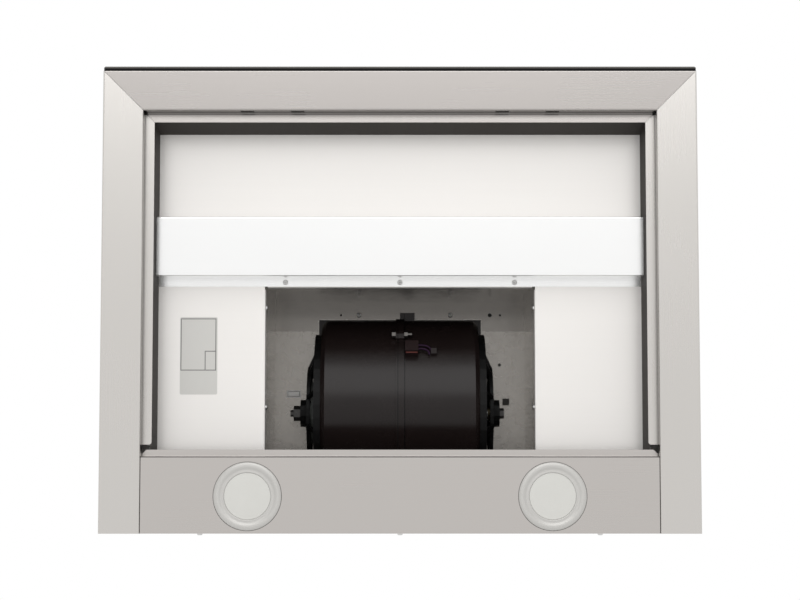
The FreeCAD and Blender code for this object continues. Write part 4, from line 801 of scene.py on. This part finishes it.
wear("lead_connector", moulded("plug_and_hole_shade_plastic", (0.012, 0.006, 0.006), 0.42, 0.0001, 0.2))
shape = bmesh.new()
strip = bmesh.ops.create_cube(shape, size=1)["verts"]
length = PLUG_RIGHT - PLUG_LEFT - 2 * STRIP_INSET
bmesh.ops.scale(shape, vec=(length, STRIP_WIDTH, STRIP_THICK), verts=strip)
spot = ((PLUG_LEFT + PLUG_RIGHT) / 2, STRIP_BACK, PLUG_UNDER)
bmesh.ops.translate(shape, vec=spot, verts=strip)
strip_plastic = moulded("strip_plastic", (0.075, 0.017, 0.013), 0.5, 0.0001, 0.2)
mesh = meshed("plug_strip", shape)
piece("plug_strip", mesh, strip_plastic, "hood", (), False)


def tube(name, paths, radius, sides=10):
    """Round leads along smooth paths, all in one mesh."""
    shape = bmesh.new()
    for path in paths:
        points = [Vector(point) for point in path]
        points = [2 * points[0] - points[1], *points, 2 * points[-1] - points[-2]]
        line = []
        for number in range(1, len(points) - 2):
            before, start, end, after = points[number - 1:number + 3]
            for step in range(PATH_STEPS):
                t = step / PATH_STEPS
                line.append(0.5 * (
                    2 * start + (end - before) * t
                    + (2 * before - 5 * start + 4 * end - after) * t ** 2
                    + (3 * start - before - 3 * end + after) * t ** 3
                ))
        line.append(points[-2])
        last = None
        for number, spot in enumerate(line):
            ahead = line[min(number + 1, len(line) - 1)] - line[max(number - 1, 0)]
            turned = Vector((0, 0, 1)).rotation_difference(ahead).to_matrix()
            ring = []
            for side in range(sides):
                angle = 2 * math.pi * side / sides
                off = Vector((math.cos(angle), math.sin(angle), 0)) * radius
                ring.append(shape.verts.new(spot + turned @ off))
            closed_ring(shape, last, ring)
            last = ring
        shape.faces.new(last)
    return meshed(name, shape)


lead_plastic = moulded("lead_sleeve", (0.018, 0.005, 0.021), 0.5, 0.0001, 0.2)
mesh = tube("motor_leads", [
    [(0.0180, 0.0420, 0.0924), (0.0235, 0.0418, 0.0926), (0.0290, 0.0432, 0.0916),
     (0.0322, 0.0462, 0.0896), (0.0330, 0.0500, 0.0868)],
    [(0.0180, 0.0458, 0.0894), (0.0230, 0.0456, 0.0896), (0.0275, 0.0468, 0.0886),
     (0.0300, 0.0492, 0.0868), (0.0306, 0.0520, 0.0850)],
], LEAD_RADIUS)
piece("motor_leads", mesh, lead_plastic, "hood", ["motor_lead"])

# ------------------------------------------------------------------ chimney covers
# Two U-shaped stainless covers hide the duct. The lower one is screwed to the deck, and
# the upper one slides up inside it to meet the ceiling.

CHIMNEY_SCREW_OUT = 0.1495
CHIMNEY_SCREW_LINES = (0.0325, 0.181)
FOOT_TOP = 0.071

chimney_steel = brushed("chimney_steel", (0.54, 0.525, 0.505), "Z")
wear("chimney_lower", chimney_steel)
wear("chimney_upper", chimney_steel)
screw_heads(
    "chimney_screw_heads",
    [(sign * CHIMNEY_SCREW_OUT, y, FOOT_TOP) for sign in (-1, 1) for y in CHIMNEY_SCREW_LINES],
    (0, 0, 1), "hood", ["chimney_screws"],
)
